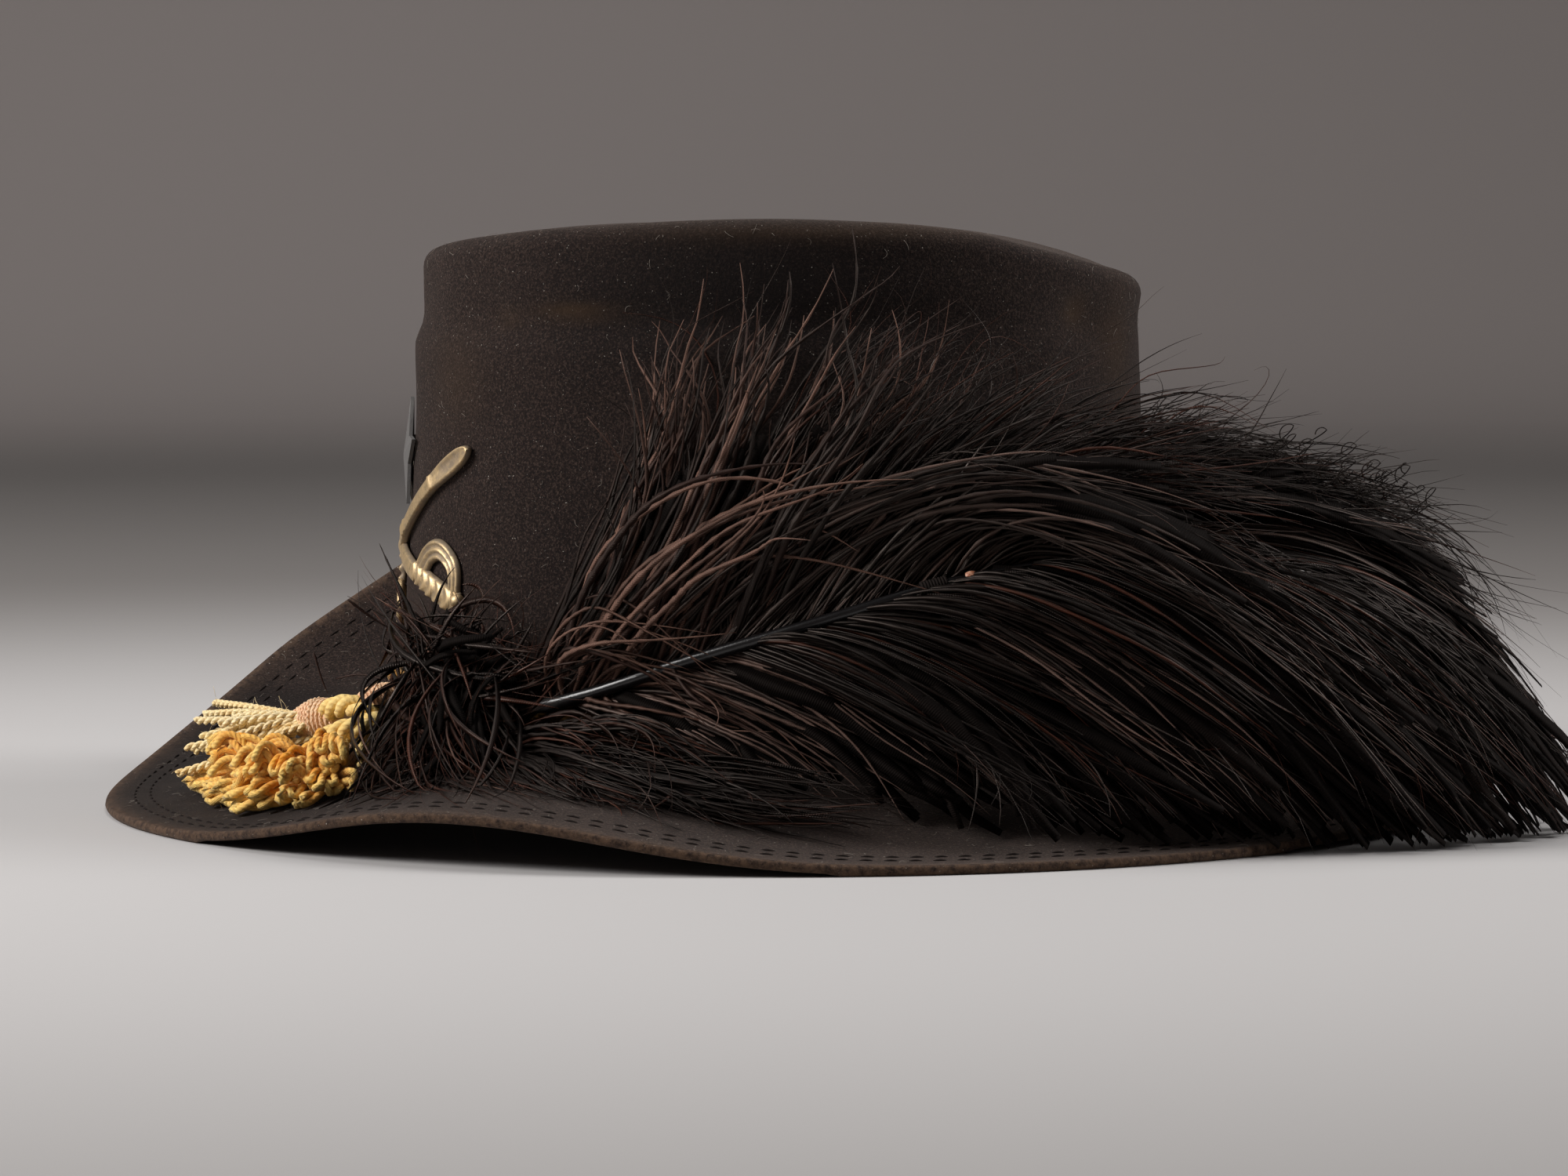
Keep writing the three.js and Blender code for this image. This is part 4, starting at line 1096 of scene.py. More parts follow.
# %% Hang the lower tassel
LOWER_HEAD = (34, 0.497, 0.070)
LOWER_TIPS = [
    (8, 0.727, 0.061),
    (14, 0.752, 0.029),
    (20, 0.764, 0.056),
    (25, 0.776, 0.029),
    (30, 0.764, 0.053),
    (35, 0.727, 0.029),
    (39, 0.655, 0.048),
    (41, 0.558, 0.029),
]


def yarn_loop(start, tip, radius, samples, rise, tone):
    """A doubled yarn, its halves wound round each other out to a round tip."""
    bend = start * 0.42 + tip * 0.58 + (0, 0, rise)
    spots = keep_clear(smooth_path(on_brim([start, bend, tip]), samples), radius * 2)
    middle = spots_to_points(spots)
    ahead = along_paths(middle)
    side = unit(np.cross(ahead, [0, 0, 1.0]))
    other = np.cross(side, ahead)
    length = np.linalg.norm(middle[-1] - middle[0])
    share = np.linspace(0, 1, samples)
    tip_share = 1 - 1.3 * radius / length
    round_tip = np.clip((share - tip_share) / (1 - tip_share), 0, 1)
    apart = 1.04 * radius * np.sqrt(np.clip(1 - round_tip**2, 0, 1))
    turn = rng.uniform(0, 6) + 2 * math.pi * share * length / 24
    offset = apart[:, None] * (np.cos(turn)[:, None] * side + np.sin(turn)[:, None] * other)
    path = np.concatenate([(middle + offset)[:-1], (middle - offset)[::-1]])
    return tubes(path[None], radius, 6, [0.1, 0.2, 1.0], tone=tone)


def lower_tassel():
    tips = np.array(LOWER_TIPS)
    made = []
    for layer, above in enumerate((0.0, 0.03, 0.055, 0.08, 0.1, 0.115)):
        count = 17 if layer < 2 else 20
        for i in range(count):
            where = np.clip((i + rng.uniform(0, 1)) / count * (len(tips) - 1), 0, len(tips) - 1.001)
            low = int(where)
            tip = tips[low] + (tips[low + 1] - tips[low]) * (where - low)
            head = np.array(LOWER_HEAD) + rng.normal(0, 1, 3) * (1.2, 0.02, 0.006)
            head = head + (0, 0.0, 0.012 * layer - 0.03)
            begins = 0.0 if layer < 2 else rng.uniform(0.0, 0.56)
            ends = rng.uniform(0.82, 1.02) if layer < 2 else begins + rng.uniform(0.3, 0.42)
            start = head + (tip - head) * begins
            tip = head + (tip - head) * ends
            start[2] = max(start[2], above - 0.02)
            tip[2] = max(0.035 + above + rng.normal(0, 0.015), 0.025)
            made.append(yarn_loop(start, tip, 1.02, 16, 0.012 * layer, rng.uniform(0.0, 1.0)))
    return made


lower_loops = lower_tassel()
lower_parts = [*lower_loops, fuzz(lower_loops, 160, 3.2)]
add_piece("lower_tassel", join_shapes(lower_parts), GOLD, ["tassel_lower"])
lower_head = wound_head((33.5, 0.43, 0.09), (34, 0.53, 0.1), 10.5, 9, 1.5, tone=0.1)
add_piece("lower_tassel_head", lower_head, SALMON)

# %% [markdown]
# ## The crossed sabres
# The badge is thin sheet brass, stamped in a die and bent to the crown: two sabres in scabbards
# that cross, with curled guards, ribbed grips and a small ring below. Each bar is a strip whose
# cross-section carries the stamped relief, worked out along and across it, and closed at the back.

# %% Define stamped strips on the crown's front
crossing_height = 70
badge_half_width = 52
badge_rise = 30
metal_seat = 0.6
ring_radius = 6


def on_crown_front(along, height, raised):
    at = np.degrees(along / (crown_width / 2))
    return beside_crown(at, height, metal_seat + raised)


def stamped(rows, width, thickness, relief, side, samples=70, across_steps=14, tone=0.5):
    rows = np.asarray(rows, float) * (badge_half_width, badge_rise) + (0, crossing_height)
    line = smooth_path(rows, samples)
    ahead = unit(np.gradient(line, axis=0))
    share = np.linspace(0, 1, samples)[:, None]
    across = np.linspace(-1, 1, across_steps)[None, :]
    half = width(share) / 2
    raised = np.maximum(relief(share + 0 * across, across) * thickness, 0.12)
    raised[:, [0, -1]] = 0.25 * thickness
    x = line[:, :1] - ahead[:, 1:] * half * across
    z = line[:, 1:] + ahead[:, :1] * half * across
    front = on_crown_front(side * x, z, raised)
    back = on_crown_front(side * x, z, np.zeros_like(raised))[:, ::-1]
    grid = np.concatenate([front, back], axis=1)
    if side < 0:
        grid = grid[:, ::-1]
    columns = grid.shape[1]
    faces = grid_faces(samples, columns, close_columns=True)[:, ::-1]
    caps = np.stack([np.arange(columns)[::-1], (samples - 1) * columns + np.arange(columns)])
    height_mark = np.concatenate([raised, np.zeros_like(raised)], axis=1) / thickness
    if side < 0:
        height_mark = height_mark[:, ::-1]
    return {
        "points": grid.reshape(-1, 3),
        "faces": [faces, caps],
        "marks": {"raised": height_mark.ravel()},
    }


trial = stamped([(0, 0), (0, 0.5), (0, 1)], lambda s: 4 + 0 * s, 2.0, lambda s, a: 1 + 0 * s, 1, 5)
print("points in a trial strip of 5 rows:", len(trial["points"]))

# %% [markdown]
# Each sabre is three strips: the scabbard with its bands and its hollow end, the grip with its
# ribs, and the ridged knuckle bow. One function gives each strip's width and one its stamped
# height. The second sabre is the mirror image of the first, pressed a little thinner under it.

# %% Shape the sabres
SABRE = [(1.0, 1.0), (0.68, 0.67), (0.33, 0.3), (0.02, 0.06), (-0.32, -0.08), (-0.52, -0.17)]
GRIP = [(-0.5, -0.14), (-0.72, -0.26), (-0.96, -0.4)]
BOW = [(-0.58, -0.12), (-0.67, 0.03), (-0.79, 0.07), (-0.91, -0.07), (-0.93, -0.34)]


def between_shares(share, low, high):
    s = np.clip((share - low) / (high - low), 0, 1)
    return s * s * (3 - 2 * s)


def scabbard_width(share):
    drag = 1.5 * np.exp(-(((share - 0.1) / 0.08) ** 2)) + 0.9 * between_shares(share, 0.62, 0.7)
    tip = np.sqrt(np.clip(1 - ((0.05 - np.minimum(share, 0.05)) / 0.05) ** 2, 0.02, 1))
    return (4.3 + drag) * tip


def scabbard_relief(share, across):
    dome = 0.55 + 0.45 * np.sqrt(1 - 0.9 * across**2)
    drag = np.exp(-(((share - 0.09) / 0.08) ** 2))
    hollow = 0.5 * drag * np.exp(-((across / 0.6) ** 4))
    bands = sum(0.22 * np.exp(-(((share - spot) / 0.008) ** 2)) for spot in (0.2, 0.44, 0.47, 0.62, 0.65))
    return dome - hollow + bands


def grip_relief(share, across):
    ribs = 0.2 * np.sin(2 * math.pi * 6 * (share + 0.1 * across**2))
    return 0.6 + 0.35 * np.sqrt(1 - 0.8 * across**2) + ribs


def bow_relief(share, across):
    return 0.72 - 0.15 * across**2 + 0.26 * np.cos(3 * math.pi * across) + 0 * share


def badge_shapes():
    shapes = []
    for side, lifted in ((1, 1.0), (-1, 0.8)):
        thickness = 2.2 * lifted
        shapes.append(stamped(SABRE, scabbard_width, thickness, scabbard_relief, side, 120))
        shapes.append(stamped(GRIP, lambda s: 6.0 + 0.8 * s, thickness, grip_relief, side))
        shapes.append(stamped(BOW, lambda s: 7.4 - 3.4 * s, thickness, bow_relief, side, 80))
    return shapes


sabre_strips = badge_shapes()
print("strips in the two sabres:", len(sabre_strips))

# %% [markdown]
# A short link with a ring hangs where the sabres cross, and each knuckle bow ends in a ball. The
# ring could be a torus, but as a tube along a circle on the crown's front it follows the felt.

# %% Shape the link, the ring and the balls
def ball(centre, radius):
    steps = 9
    turn = np.linspace(-math.pi / 2, math.pi / 2, steps)
    still = np.zeros(steps)
    path = np.array(centre) + np.stack([still, -radius * np.sin(turn), still], -1)
    half = np.maximum(radius * np.cos(turn), 0.05)
    made = tubes(path[None], half[None], 12)
    made["marks"] = {"raised": np.full(len(made["points"]), 0.9)}
    return made


def badge_ring():
    centre = crossing_height - badge_rise * 0.3 - ring_radius
    turn = np.linspace(0, 2 * math.pi, 60, endpoint=False)
    path = on_crown_front(ring_radius * np.cos(turn), centre + ring_radius * np.sin(turn), 1.2)
    made = tubes(path[None], 1.05, 10, away_from_crown(np.zeros(60)), looped=True)
    made["marks"] = {"raised": np.full(len(made["points"]), 1.0)}
    return made


def link_relief(share, across):
    return 0.5 + 0.3 * np.sqrt(1 - 0.9 * across**2) + 0.2 * np.sin(2 * math.pi * 4 * share)


link = stamped([(0, 0.1), (0, -0.15), (0, -0.34)], lambda s: 5.2 - 1.6 * s, 2.2, link_relief, 1, 30)
bow_end = 0.98 * badge_half_width
bow_foot = crossing_height - 0.36 * badge_rise
balls = [ball(on_crown_front(side * bow_end, bow_foot, 1.5), 2.0) for side in (-1, 1)]
badge_parts = [*sabre_strips, link, badge_ring(), *balls]
print("parts of the badge:", len(badge_parts))

# %% [markdown]
# Old brass is golden only where it is touched. The hollows hold a dark grey-brown skin, with a
# trace of green. The stamped height is a mark on the mesh, and with some noise it decides between
# bare metal and skin. The star beside it is pewter, which is soft, grey and dull.

# %% Mix the metals and fit the badge
def old_metal(name, bright, skin, green, rough):
    material, tree, shader = new_finish(name, Metallic=1.0)
    uneven = sum_of(tree, "MULTIPLY", noise(tree, 420, 5, 0.7), 1.3)
    height = sum_of(tree, "ADD", mark(tree, "raised"), uneven)
    bare = between(tree, height, 1.05, 1.8)
    colour = blend(tree, bare, skin, bright)
    colour = blend(tree, between(tree, noise(tree, 150, 4, 0.7), 0.58, 0.72, 0.0, 0.5), colour, green)
    tree.links.new(colour, shader.inputs["Base Color"])
    tree.links.new(between(tree, bare, 0.0, 1.0, 0.62, rough), shader.inputs["Roughness"])
    tree.links.new(between(tree, bare, 0.0, 0.6, 0.35, 1.0), shader.inputs["Metallic"])
    bump(tree, shader, noise(tree, 700, 4, 0.7), 0.00012, 0.6)
    return material


BRASS = old_metal("old_brass", tint(216, 190, 148), tint(132, 116, 96), tint(104, 98, 82), 0.52)
PEWTER = old_metal("old_pewter", tint(196, 194, 192), tint(104, 102, 101), tint(124, 122, 120), 0.42)
add_piece("sabres", join_shapes(badge_parts), BRASS, ["crossed_sabres"])
for name, finish in (("crown_star", PEWTER), ("brim_clip", BRASS)):
    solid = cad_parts[name]
    solid.data.materials.clear()
    solid.data.materials.append(finish)
    rounding = solid.modifiers.new("softened_edges", "BEVEL")
    rounding.width = 0.0004
    rounding.segments = 3
    rounding.limit_method = "ANGLE"
    print(name, "keeps its solid, with rounded edges")

# %% [markdown]
# ## The plume
# An ostrich feather is a shaft with long soft barbs on both sides, and each barb carries its own
# fringe of barbules, which give it a herringbone look. Hair particles would do it, but they don't
# travel with the mesh. So every barb is a small mesh of its own, and guides say where barbs run.
# A guide has the share of the spine where its barb starts, a place in its middle and one at its
# tip, and the barbs between two guides follow both.

# %% Set the guides of the main feather
spine_samples = 200
QUILL = table(
    "at up out",
    [
        (43, 0.265, 0.02),
        (48, 0.235, 0.11),
        (56, 0.212, 0.18),
        (66, 0.239, 0.22),
        (80, 0.3, 0.27),
        (94, 0.359, 0.34),
        (111, 0.433, 0.45),
        (122, 0.461, 0.54),
        (132, 0.449, 0.64),
        (141, 0.37, 0.78),
    ],
)
BARB_COLUMNS = "from mid_at mid_up mid_out tip_at tip_up tip_out"
UPPER_BARBS = table(
    BARB_COLUMNS,
    [
        (0.18, 69, 0.472, 0.21, 74, 0.81, 0.09),
        (0.24, 72, 0.498, 0.22, 78, 0.85, 0.08),
        (0.29, 76, 0.524, 0.22, 83, 0.86, 0.08),
        (0.34, 81, 0.562, 0.24, 90, 0.885, 0.08),
        (0.39, 85, 0.594, 0.25, 97, 0.89, 0.1),
        (0.44, 92, 0.607, 0.27, 105, 0.892, 0.15),
        (0.5, 99, 0.62, 0.3, 115, 0.823, 0.26),
        (0.56, 109, 0.614, 0.36, 128, 0.755, 0.43),
        (0.62, 119, 0.608, 0.47, 140, 0.661, 0.73),
        (0.69, 126, 0.571, 0.59, 145, 0.543, 0.94),
        (0.76, 133, 0.479, 0.75, 147, 0.29, 1.16),
        (0.84, 137, 0.417, 0.87, 150, 0.103, 1.29),
    ],
)
LOWER_BARBS = table(
    BARB_COLUMNS,
    [
        (0.3, 76, 0.199, 0.33, 87, 0.13, 0.4),
        (0.36, 85, 0.206, 0.36, 98, 0.102, 0.5),
        (0.44, 96, 0.234, 0.43, 111, 0.081, 0.64),
        (0.52, 107, 0.261, 0.53, 123, 0.063, 0.76),
        (0.6, 116, 0.298, 0.64, 134, 0.046, 0.92),
        (0.67, 125, 0.328, 0.78, 143, 0.031, 1.07),
        (0.76, 133, 0.324, 0.91, 150, 0.012, 1.26),
        (0.84, 137, 0.315, 0.97, 154, 0.006, 1.32),
    ],
)
ARCH_BARBS = table(
    BARB_COLUMNS,
    [
        (0.36, 95, 0.516, 0.32, 124, 0.614, 0.54),
        (0.43, 105, 0.56, 0.38, 132, 0.541, 0.73),
        (0.5, 112, 0.567, 0.46, 139, 0.406, 0.95),
        (0.58, 119, 0.555, 0.56, 144, 0.257, 1.15),
        (0.66, 127, 0.5, 0.71, 148, 0.143, 1.29),
        (0.74, 132, 0.432, 0.83, 153, 0.049, 1.38),
        (0.82, 137, 0.382, 0.93, 158, 0.01, 1.44),
    ],
)
DRAPE_BARBS = table(
    BARB_COLUMNS,
    [
        (0.5, 103, 0.27, 0.58, 114, 0.06, 0.86),
        (0.56, 113, 0.3, 0.59, 130, 0.059, 0.86),
        (0.64, 124, 0.34, 0.75, 142, 0.034, 1.04),
        (0.74, 133, 0.358, 0.92, 150, 0.011, 1.25),
        (0.84, 140, 0.375, 1.01, 156, 0.006, 1.36),
        (0.92, 147, 0.361, 1.08, 160, 0.005, 1.43),
        (0.99, 154, 0.31, 1.16, 165, 0.005, 1.48),
    ],
)


def spine_spots(rows):
    places = np.stack([rows["at"], rows["up"] * hat_height, rows["out"] * brim_width], -1)
    return smooth_path(places, spine_samples)


quill_line = spine_spots(QUILL)
steps_of_quill = np.diff(spots_to_points(quill_line), axis=0)
print("main feather's spine in mm:", np.linalg.norm(steps_of_quill, axis=-1).sum().round(1))

# %% [markdown]
# Barbs at even steps would look like a comb. Real ones cling together, so they stand in clumps,
# lean on their neighbours, wave a little and hook at their ends. Only the combed side of the
# feather is even, where the barbs still hold on to each other.

# %% Define where barbs run
def barb_spots(
    spine, rows, clumps, each, loose, steps, short, span=None, even=False, sway=1.0, curl=0.0, behind=0.0
):
    """Places along many barbs, with loose as the spread of their middles and tips in mm."""
    start, end = span or (rows["from"][0], rows["from"][-1])
    clump_from = np.linspace(start, end, clumps) if even else np.sort(rng.uniform(start, end, clumps))
    loose = np.asarray(loose, float)
    clump_lean = rng.normal(0, 1, (clumps, 6)) * loose
    which = np.repeat(np.arange(clumps), each)
    count = len(which)
    jitter = 0.002 if even else 0.012
    where = clump_from[which] + rng.normal(0, jitter, count)
    where = np.clip(where, max(start - 0.02, 0), min(end + 0.02, 1))
    names = BARB_COLUMNS.split()[1:]
    columns = np.stack([smooth_column(rows, "from", name, where) for name in names], -1)
    columns = columns * (1, hat_height, brim_width, 1, hat_height, brim_width)
    columns = columns + clump_lean[which] + rng.normal(0, 1, (count, 6)) * loose * 0.35
    spine_share = np.linspace(0, 1, len(spine))
    root = np.stack([np.interp(where, spine_share, spine[:, i]) for i in range(3)], -1)
    root = root - (0, 0, behind)
    own = np.linspace(0, 1, steps)[None, :, None]
    t = own * rng.uniform(short, 1.0, (count, 1, 1))
    middle, tip = columns[:, None, :3], columns[:, None, 3:]
    spots = root[:, None] * (2 * t * t - 3 * t + 1) + middle * (4 * t - 4 * t * t) + tip * (2 * t * t - t)
    phase = rng.uniform(0, 2 * math.pi, (count, 1, 3))
    waves = rng.uniform(1.0, 2.6, (count, 1, 3))
    wave = np.sin(phase + 2 * math.pi * waves * t) * own * rng.uniform(0.2, 1.0, (count, 1, 1))
    hook = np.clip((own - 0.7) / 0.3, 0, 1) ** 2 * rng.normal(0, 1, (count, 1, 3)) * curl
    return spots + (wave * sway + hook) * (0.7, 1.0, 1.0)


def barb_tones(count, base, spread):
    return np.clip(rng.normal(base, spread, count), 0, 1)


def barb_lift(spots, lean=0.5):
    tilt = rng.normal(0, lean, (len(spots), 1, 3))
    return unit(away_from_crown(spots[..., 0]) + [0, 0, 0.35] + tilt)


print("numbers in one guide:", len(BARB_COLUMNS.split()))

# %% [markdown]
# Three kinds of barb make up the plume. Broad dark ribbons lie deepest and close the gaps, as the
# web of a real feather does, and their near-black, matt colour is painted shade for the depth of the
# plume. Toothed barbs show the herringbone of the barbules: their edges step in and out, slanted
# forward, and their sides carry fine slanted stripes. Thin round barbs lie between them and make the
# loose outline.

# %% Define the three kinds of barb
def plain_barbs(spots, half, tone):
    count, steps = spots.shape[:2]
    spots = keep_clear(spots, half)
    taper = np.interp(np.linspace(0, 1, steps), [0, 0.15, 0.75, 1], [0.7, 1.0, 0.7, 0.12])
    size = half * rng.uniform(0.7, 1.25, (count, 1)) * taper
    return tubes(spots_to_points(spots), size, 3, barb_lift(spots), tone=tone)


def toothed_barbs(spots, half, tone, lean=0.5):
    count, steps = spots.shape[:2]
    spots = keep_clear(spots, half)
    paths = spots_to_points(spots)
    ahead = along_paths(paths)
    lift = barb_lift(spots, lean)
    lift = unit(lift - ahead * np.sum(lift * ahead, -1, keepdims=True))
    across = np.cross(ahead, lift)
    taper = np.interp(np.linspace(0, 1, steps), [0, 0.12, 0.5, 0.8, 1], [0.6, 1.0, 0.85, 0.45, 0.1])
    size = (half * rng.uniform(0.75, 1.25, (count, 1)) * taper)[..., None]
    tooth = np.where(np.arange(steps) % 2, 0.8, 1.1)[None, :, None]
    tooth = tooth * rng.uniform(0.85, 1.15, (count, steps, 1))
    forward = ahead * size * np.where(tooth > 0.95, 0.8, 0.0)
    right = paths + across * size * tooth + forward
    left = paths - across * size * tooth + forward
    ridge = paths + lift * size * 0.38
    below = paths - lift * size * 0.2
    rings = np.stack([right, ridge, left, below], axis=2)
    return shape_from_rings(rings, tone=tone, turn=[1, 0, 1, 0])


def shade_web_ribbons(spots, half, tone):
    count, steps = spots.shape[:2]
    spots = keep_clear(spots, half * 0.6)
    taper = np.interp(np.linspace(0, 1, steps), [0, 0.3, 0.85, 1], [0.6, 1.0, 0.9, 0.45])
    size = half * rng.uniform(0.8, 1.2, (count, 1)) * taper
    return tubes(spots_to_points(spots), size, 4, barb_lift(spots, 0.15), 0.15, tone=tone)


print("kinds of barb:", [kind.__name__ for kind in (plain_barbs, toothed_barbs, shade_web_ribbons)])

# %% [markdown]
# The feathers were dyed black and have turned brown where light reached them, most near the roots
# at the front and at the tips. Barbs are horn, so the thin ones have a narrow gloss, while the
# downy ones are matt. Each barb carries a tone mark, and the finish goes from black to chestnut
# with it. For some sets of barbs the tone also paints light and shade.

# %% Mix the feather's finishes
def feather_finish(name, deep, middle, bright, gloss, shine):
    material, tree, shader = new_finish(name, Roughness=gloss)
    shader.inputs["Specular IOR Level"].default_value = shine
    shader.inputs["Specular Tint"].default_value = (1.0, 0.8, 0.7, 1)
    faded = sum_of(tree, "MULTIPLY", sum_of(tree, "POWER", mark(tree, "share"), 3.0), 0.3)
    tone = sum_of(tree, "ADD", mark(tree, "tone"), faded)
    colour = blend(tree, between(tree, tone, 0.1, 0.6), deep, middle)
    colour = blend(tree, between(tree, tone, 0.6, 1.1), colour, bright)
    forward = sum_of(tree, "MULTIPLY", mark(tree, "along"), 1.5)
    outward = sum_of(tree, "MULTIPLY", mark(tree, "turn"), 1.1)
    hatch = between(tree, striped(tree, sum_of(tree, "SUBTRACT", forward, outward)), -0.6, 0.7)
    gap = sum_of(tree, "MULTIPLY", between(tree, hatch, 1.0, 0.0), 0.7)
    colour = blend(tree, gap, colour, tint(6, 4, 4))
    colour = blend(tree, between(tree, noise(tree, 90, 3), 0.4, 0.75, 0.0, 0.5), colour, deep)
    tree.links.new(colour, shader.inputs["Base Color"])
    bump(tree, shader, hatch, 0.0002, 0.5)
    return material


# Painted shade: near-black and matt, for the shade deep inside the plume and the tuft.
SHADE_WEB = feather_finish("feather_shade_web", tint(3, 2, 2), tint(8, 5, 5), tint(18, 11, 9), 0.7, 0.08)
FEATHER = feather_finish("dark_feather", tint(4, 3, 3), tint(18, 10, 8), tint(84, 44, 30), 0.38, 0.28)
SOOT = tint(8, 5, 4)
# Painted sheen: lighter grey-brown middle and bright colours, for the sheen on smooth barbs.
SHEEN_PAINTED_FEATHER = feather_finish("sheen_painted_feather", SOOT, tint(48, 37, 33), tint(128, 102, 92), 0.4, 0.42)
BROWN_FEATHER = feather_finish("brown_feather", SOOT, tint(50, 29, 23), tint(134, 100, 86), 0.48, 0.25)
print("feathers:", [finish.name for finish in (SHADE_WEB, FEATHER, SHEEN_PAINTED_FEATHER, BROWN_FEATHER)])

# %% [markdown]
# The web is the dark ground of the feather, and its near-black colour is painted shade for the
# depth of the plume. A single curved sheet would be quicker, but it would show as a smooth patch
# between the barbs, so it is made of broad ribbons along the same guides, a few millimetres behind them.

# %% Lay the shade web of the main feather
loose_shade_web = (1.2, 2.0, 2.0, 2.0, 4.0, 4.0)
shade_webs = [
    barb_spots(quill_line, UPPER_BARBS, 100, 1, loose_shade_web, 14, 0.5, (0.26, 0.8), even=True, behind=7.0),
    barb_spots(quill_line, LOWER_BARBS, 70, 1, loose_shade_web, 14, 0.9, even=True, behind=6.0),
    barb_spots(quill_line, ARCH_BARBS, 110, 1, loose_shade_web, 16, 0.85, even=True, behind=6.0),
    barb_spots(quill_line, DRAPE_BARBS, 190, 1, loose_shade_web, 14, 0.98, even=True, behind=5.0),
    barb_spots(quill_line, LOWER_BARBS, 80, 1, loose_shade_web, 14, 0.98, (0.4, 0.84), even=True, behind=3.5),
]
upper_shade_web_steps = 9
shade_webs[0] = shade_webs[0][:, :upper_shade_web_steps]
shade_web_shapes = []
for spots in shade_webs:
    spots[..., 2] -= 3.0 * np.sin(np.linspace(0, math.pi, spots.shape[1]))
    shade_web_shapes.append(shade_web_ribbons(spots, 2.1, barb_tones(len(spots), 0.3, 0.2)))
add_piece("plume_front_shade_web", join_shapes(shade_web_shapes), SHADE_WEB, ["plume_front"])

# %% [markdown]
# At the front the barbs stand up loosely, and light has turned them brown. Some are swept far to
# the back over the others, and a few arch over the quill. Each of these sets has its own guides,
# and their tones also paint shade and light: the deep barbs are darkest, the ones on top lightest.

# %% Grow the brown barbs at the front
SWEPT_BARBS = table(
    BARB_COLUMNS,
    [
        (0.29, 78, 0.533, 0.31, 112, 0.695, 0.39),
        (0.33, 82, 0.51, 0.34, 109, 0.61, 0.44),
        (0.37, 84, 0.48, 0.35, 106, 0.482, 0.48),
    ],
)
ARCHED_BARBS = table(
    BARB_COLUMNS,
    [
        (0.25, 70, 0.357, 0.3, 85, 0.268, 0.36),
        (0.3, 72, 0.308, 0.29, 88, 0.228, 0.38),
        (0.36, 81, 0.245, 0.32, 96, 0.144, 0.43),
        (0.42, 87, 0.233, 0.35, 99, 0.121, 0.48),
    ],
)
loose_left = (2.2, 3.5, 3.0, 2.8, 5.5, 3.0)
left_barbs = barb_spots(
    quill_line, UPPER_BARBS, 31, 3, loose_left, 34, 0.7, (0.17, 0.5), sway=3.6, curl=6.0, behind=2.0
)
deep_left = barb_spots(
    quill_line, UPPER_BARBS, 40, 3, loose_left, 26, 0.6, (0.17, 0.56), sway=2.4, curl=4.0, behind=5.0
)
loose_swept = (3, 6, 2, 5, 9, 3)
swept = barb_spots(quill_line, SWEPT_BARBS, 7, 2, loose_swept, 40, 0.8, sway=2.4, curl=3.0, behind=0.5)
arched = barb_spots(quill_line, ARCHED_BARBS, 10, 2, (3, 3.5, 2, 4, 5, 2), 30, 0.75, sway=1.6, curl=3.0)
brown_parts = [
    # Painted shade and light: the deep barbs get dark tones, the swept and arched ones on top light ones.
    toothed_barbs(deep_left, 0.8, barb_tones(len(deep_left), 0.15, 0.15), 0.3),
    toothed_barbs(left_barbs, 1.15, barb_tones(len(left_barbs), 0.5, 0.33), 0.3),
    toothed_barbs(swept, 0.95, barb_tones(len(swept), 0.85, 0.2), 0.2),
    toothed_barbs(arched, 0.75, barb_tones(len(arched), 0.75, 0.2), 0.25),
]
add_piece("plume_front_brown", join_shapes(brown_parts), BROWN_FEATHER)

# %% [markdown]
# Further back the barbs of the upper side lean on the crown and get finer towards the outline.
# Toothed ones give body, and thin plain ones between them make the edge soft.

# %% Grow the upper side
loose_upper = (1.8, 2.4, 3.0, 2.8, 5.0, 5.0)
upper_toothed = barb_spots(
    quill_line, UPPER_BARBS, 50, 4, loose_upper, 28, 0.75, (0.46, 0.84), sway=1.5, curl=3.0, behind=3.0
)
upper_fine = barb_spots(
    quill_line, UPPER_BARBS, 44, 6, loose_upper, 20, 0.65, (0.4, 0.84), sway=1.8, curl=4.0, behind=4.0
)
upper_parts = [
    toothed_barbs(upper_toothed, 0.62, barb_tones(len(upper_toothed), 0.4, 0.3), 0.3),
    plain_barbs(upper_fine, 0.3, barb_tones(len(upper_fine), 0.35, 0.25)),
]
add_piece("plume_front_upper", join_shapes(upper_parts), FEATHER)

# %% [markdown]
# Over the cut end of the shaft the barbs rise and fall again in one long arch. They are sleek and
# nearly parallel there, so most of them start at even steps and only a few are loose. Their finish
# has a painted sheen in its lighter grey-brown colours.

# %% Lay the arch over the nub
loose_arch = (1.2, 1.6, 2.0, 3.0, 4.0, 4.0)
arch_combed = barb_spots(
    quill_line, ARCH_BARBS, 96, 1, loose_arch, 32, 0.85, (0.34, 0.8), even=True, behind=2.0
)
arch_loose = barb_spots(
    quill_line, ARCH_BARBS, 34, 4, (2, 3, 3, 3.5, 6, 5), 28, 0.8, sway=1.4, curl=3.0, behind=1.0
)
arch_parts = [
    toothed_barbs(arch_combed, 0.65, barb_tones(len(arch_combed), 0.5, 0.2), 0.15),
    toothed_barbs(arch_loose, 0.6, barb_tones(len(arch_loose), 0.35, 0.3), 0.3),
]
add_piece("plume_front_arch", join_shapes(arch_parts), SHEEN_PAINTED_FEATHER)

# %% [markdown]
# Under the shaft the barbs lie side by side like combed hair, and each shows its own line of
# light, from the gloss and from a painted sheen: they get the lightest tones of the sheen-painted
# finish. A few loose ones cross them, because a perfect row looks like a brush.

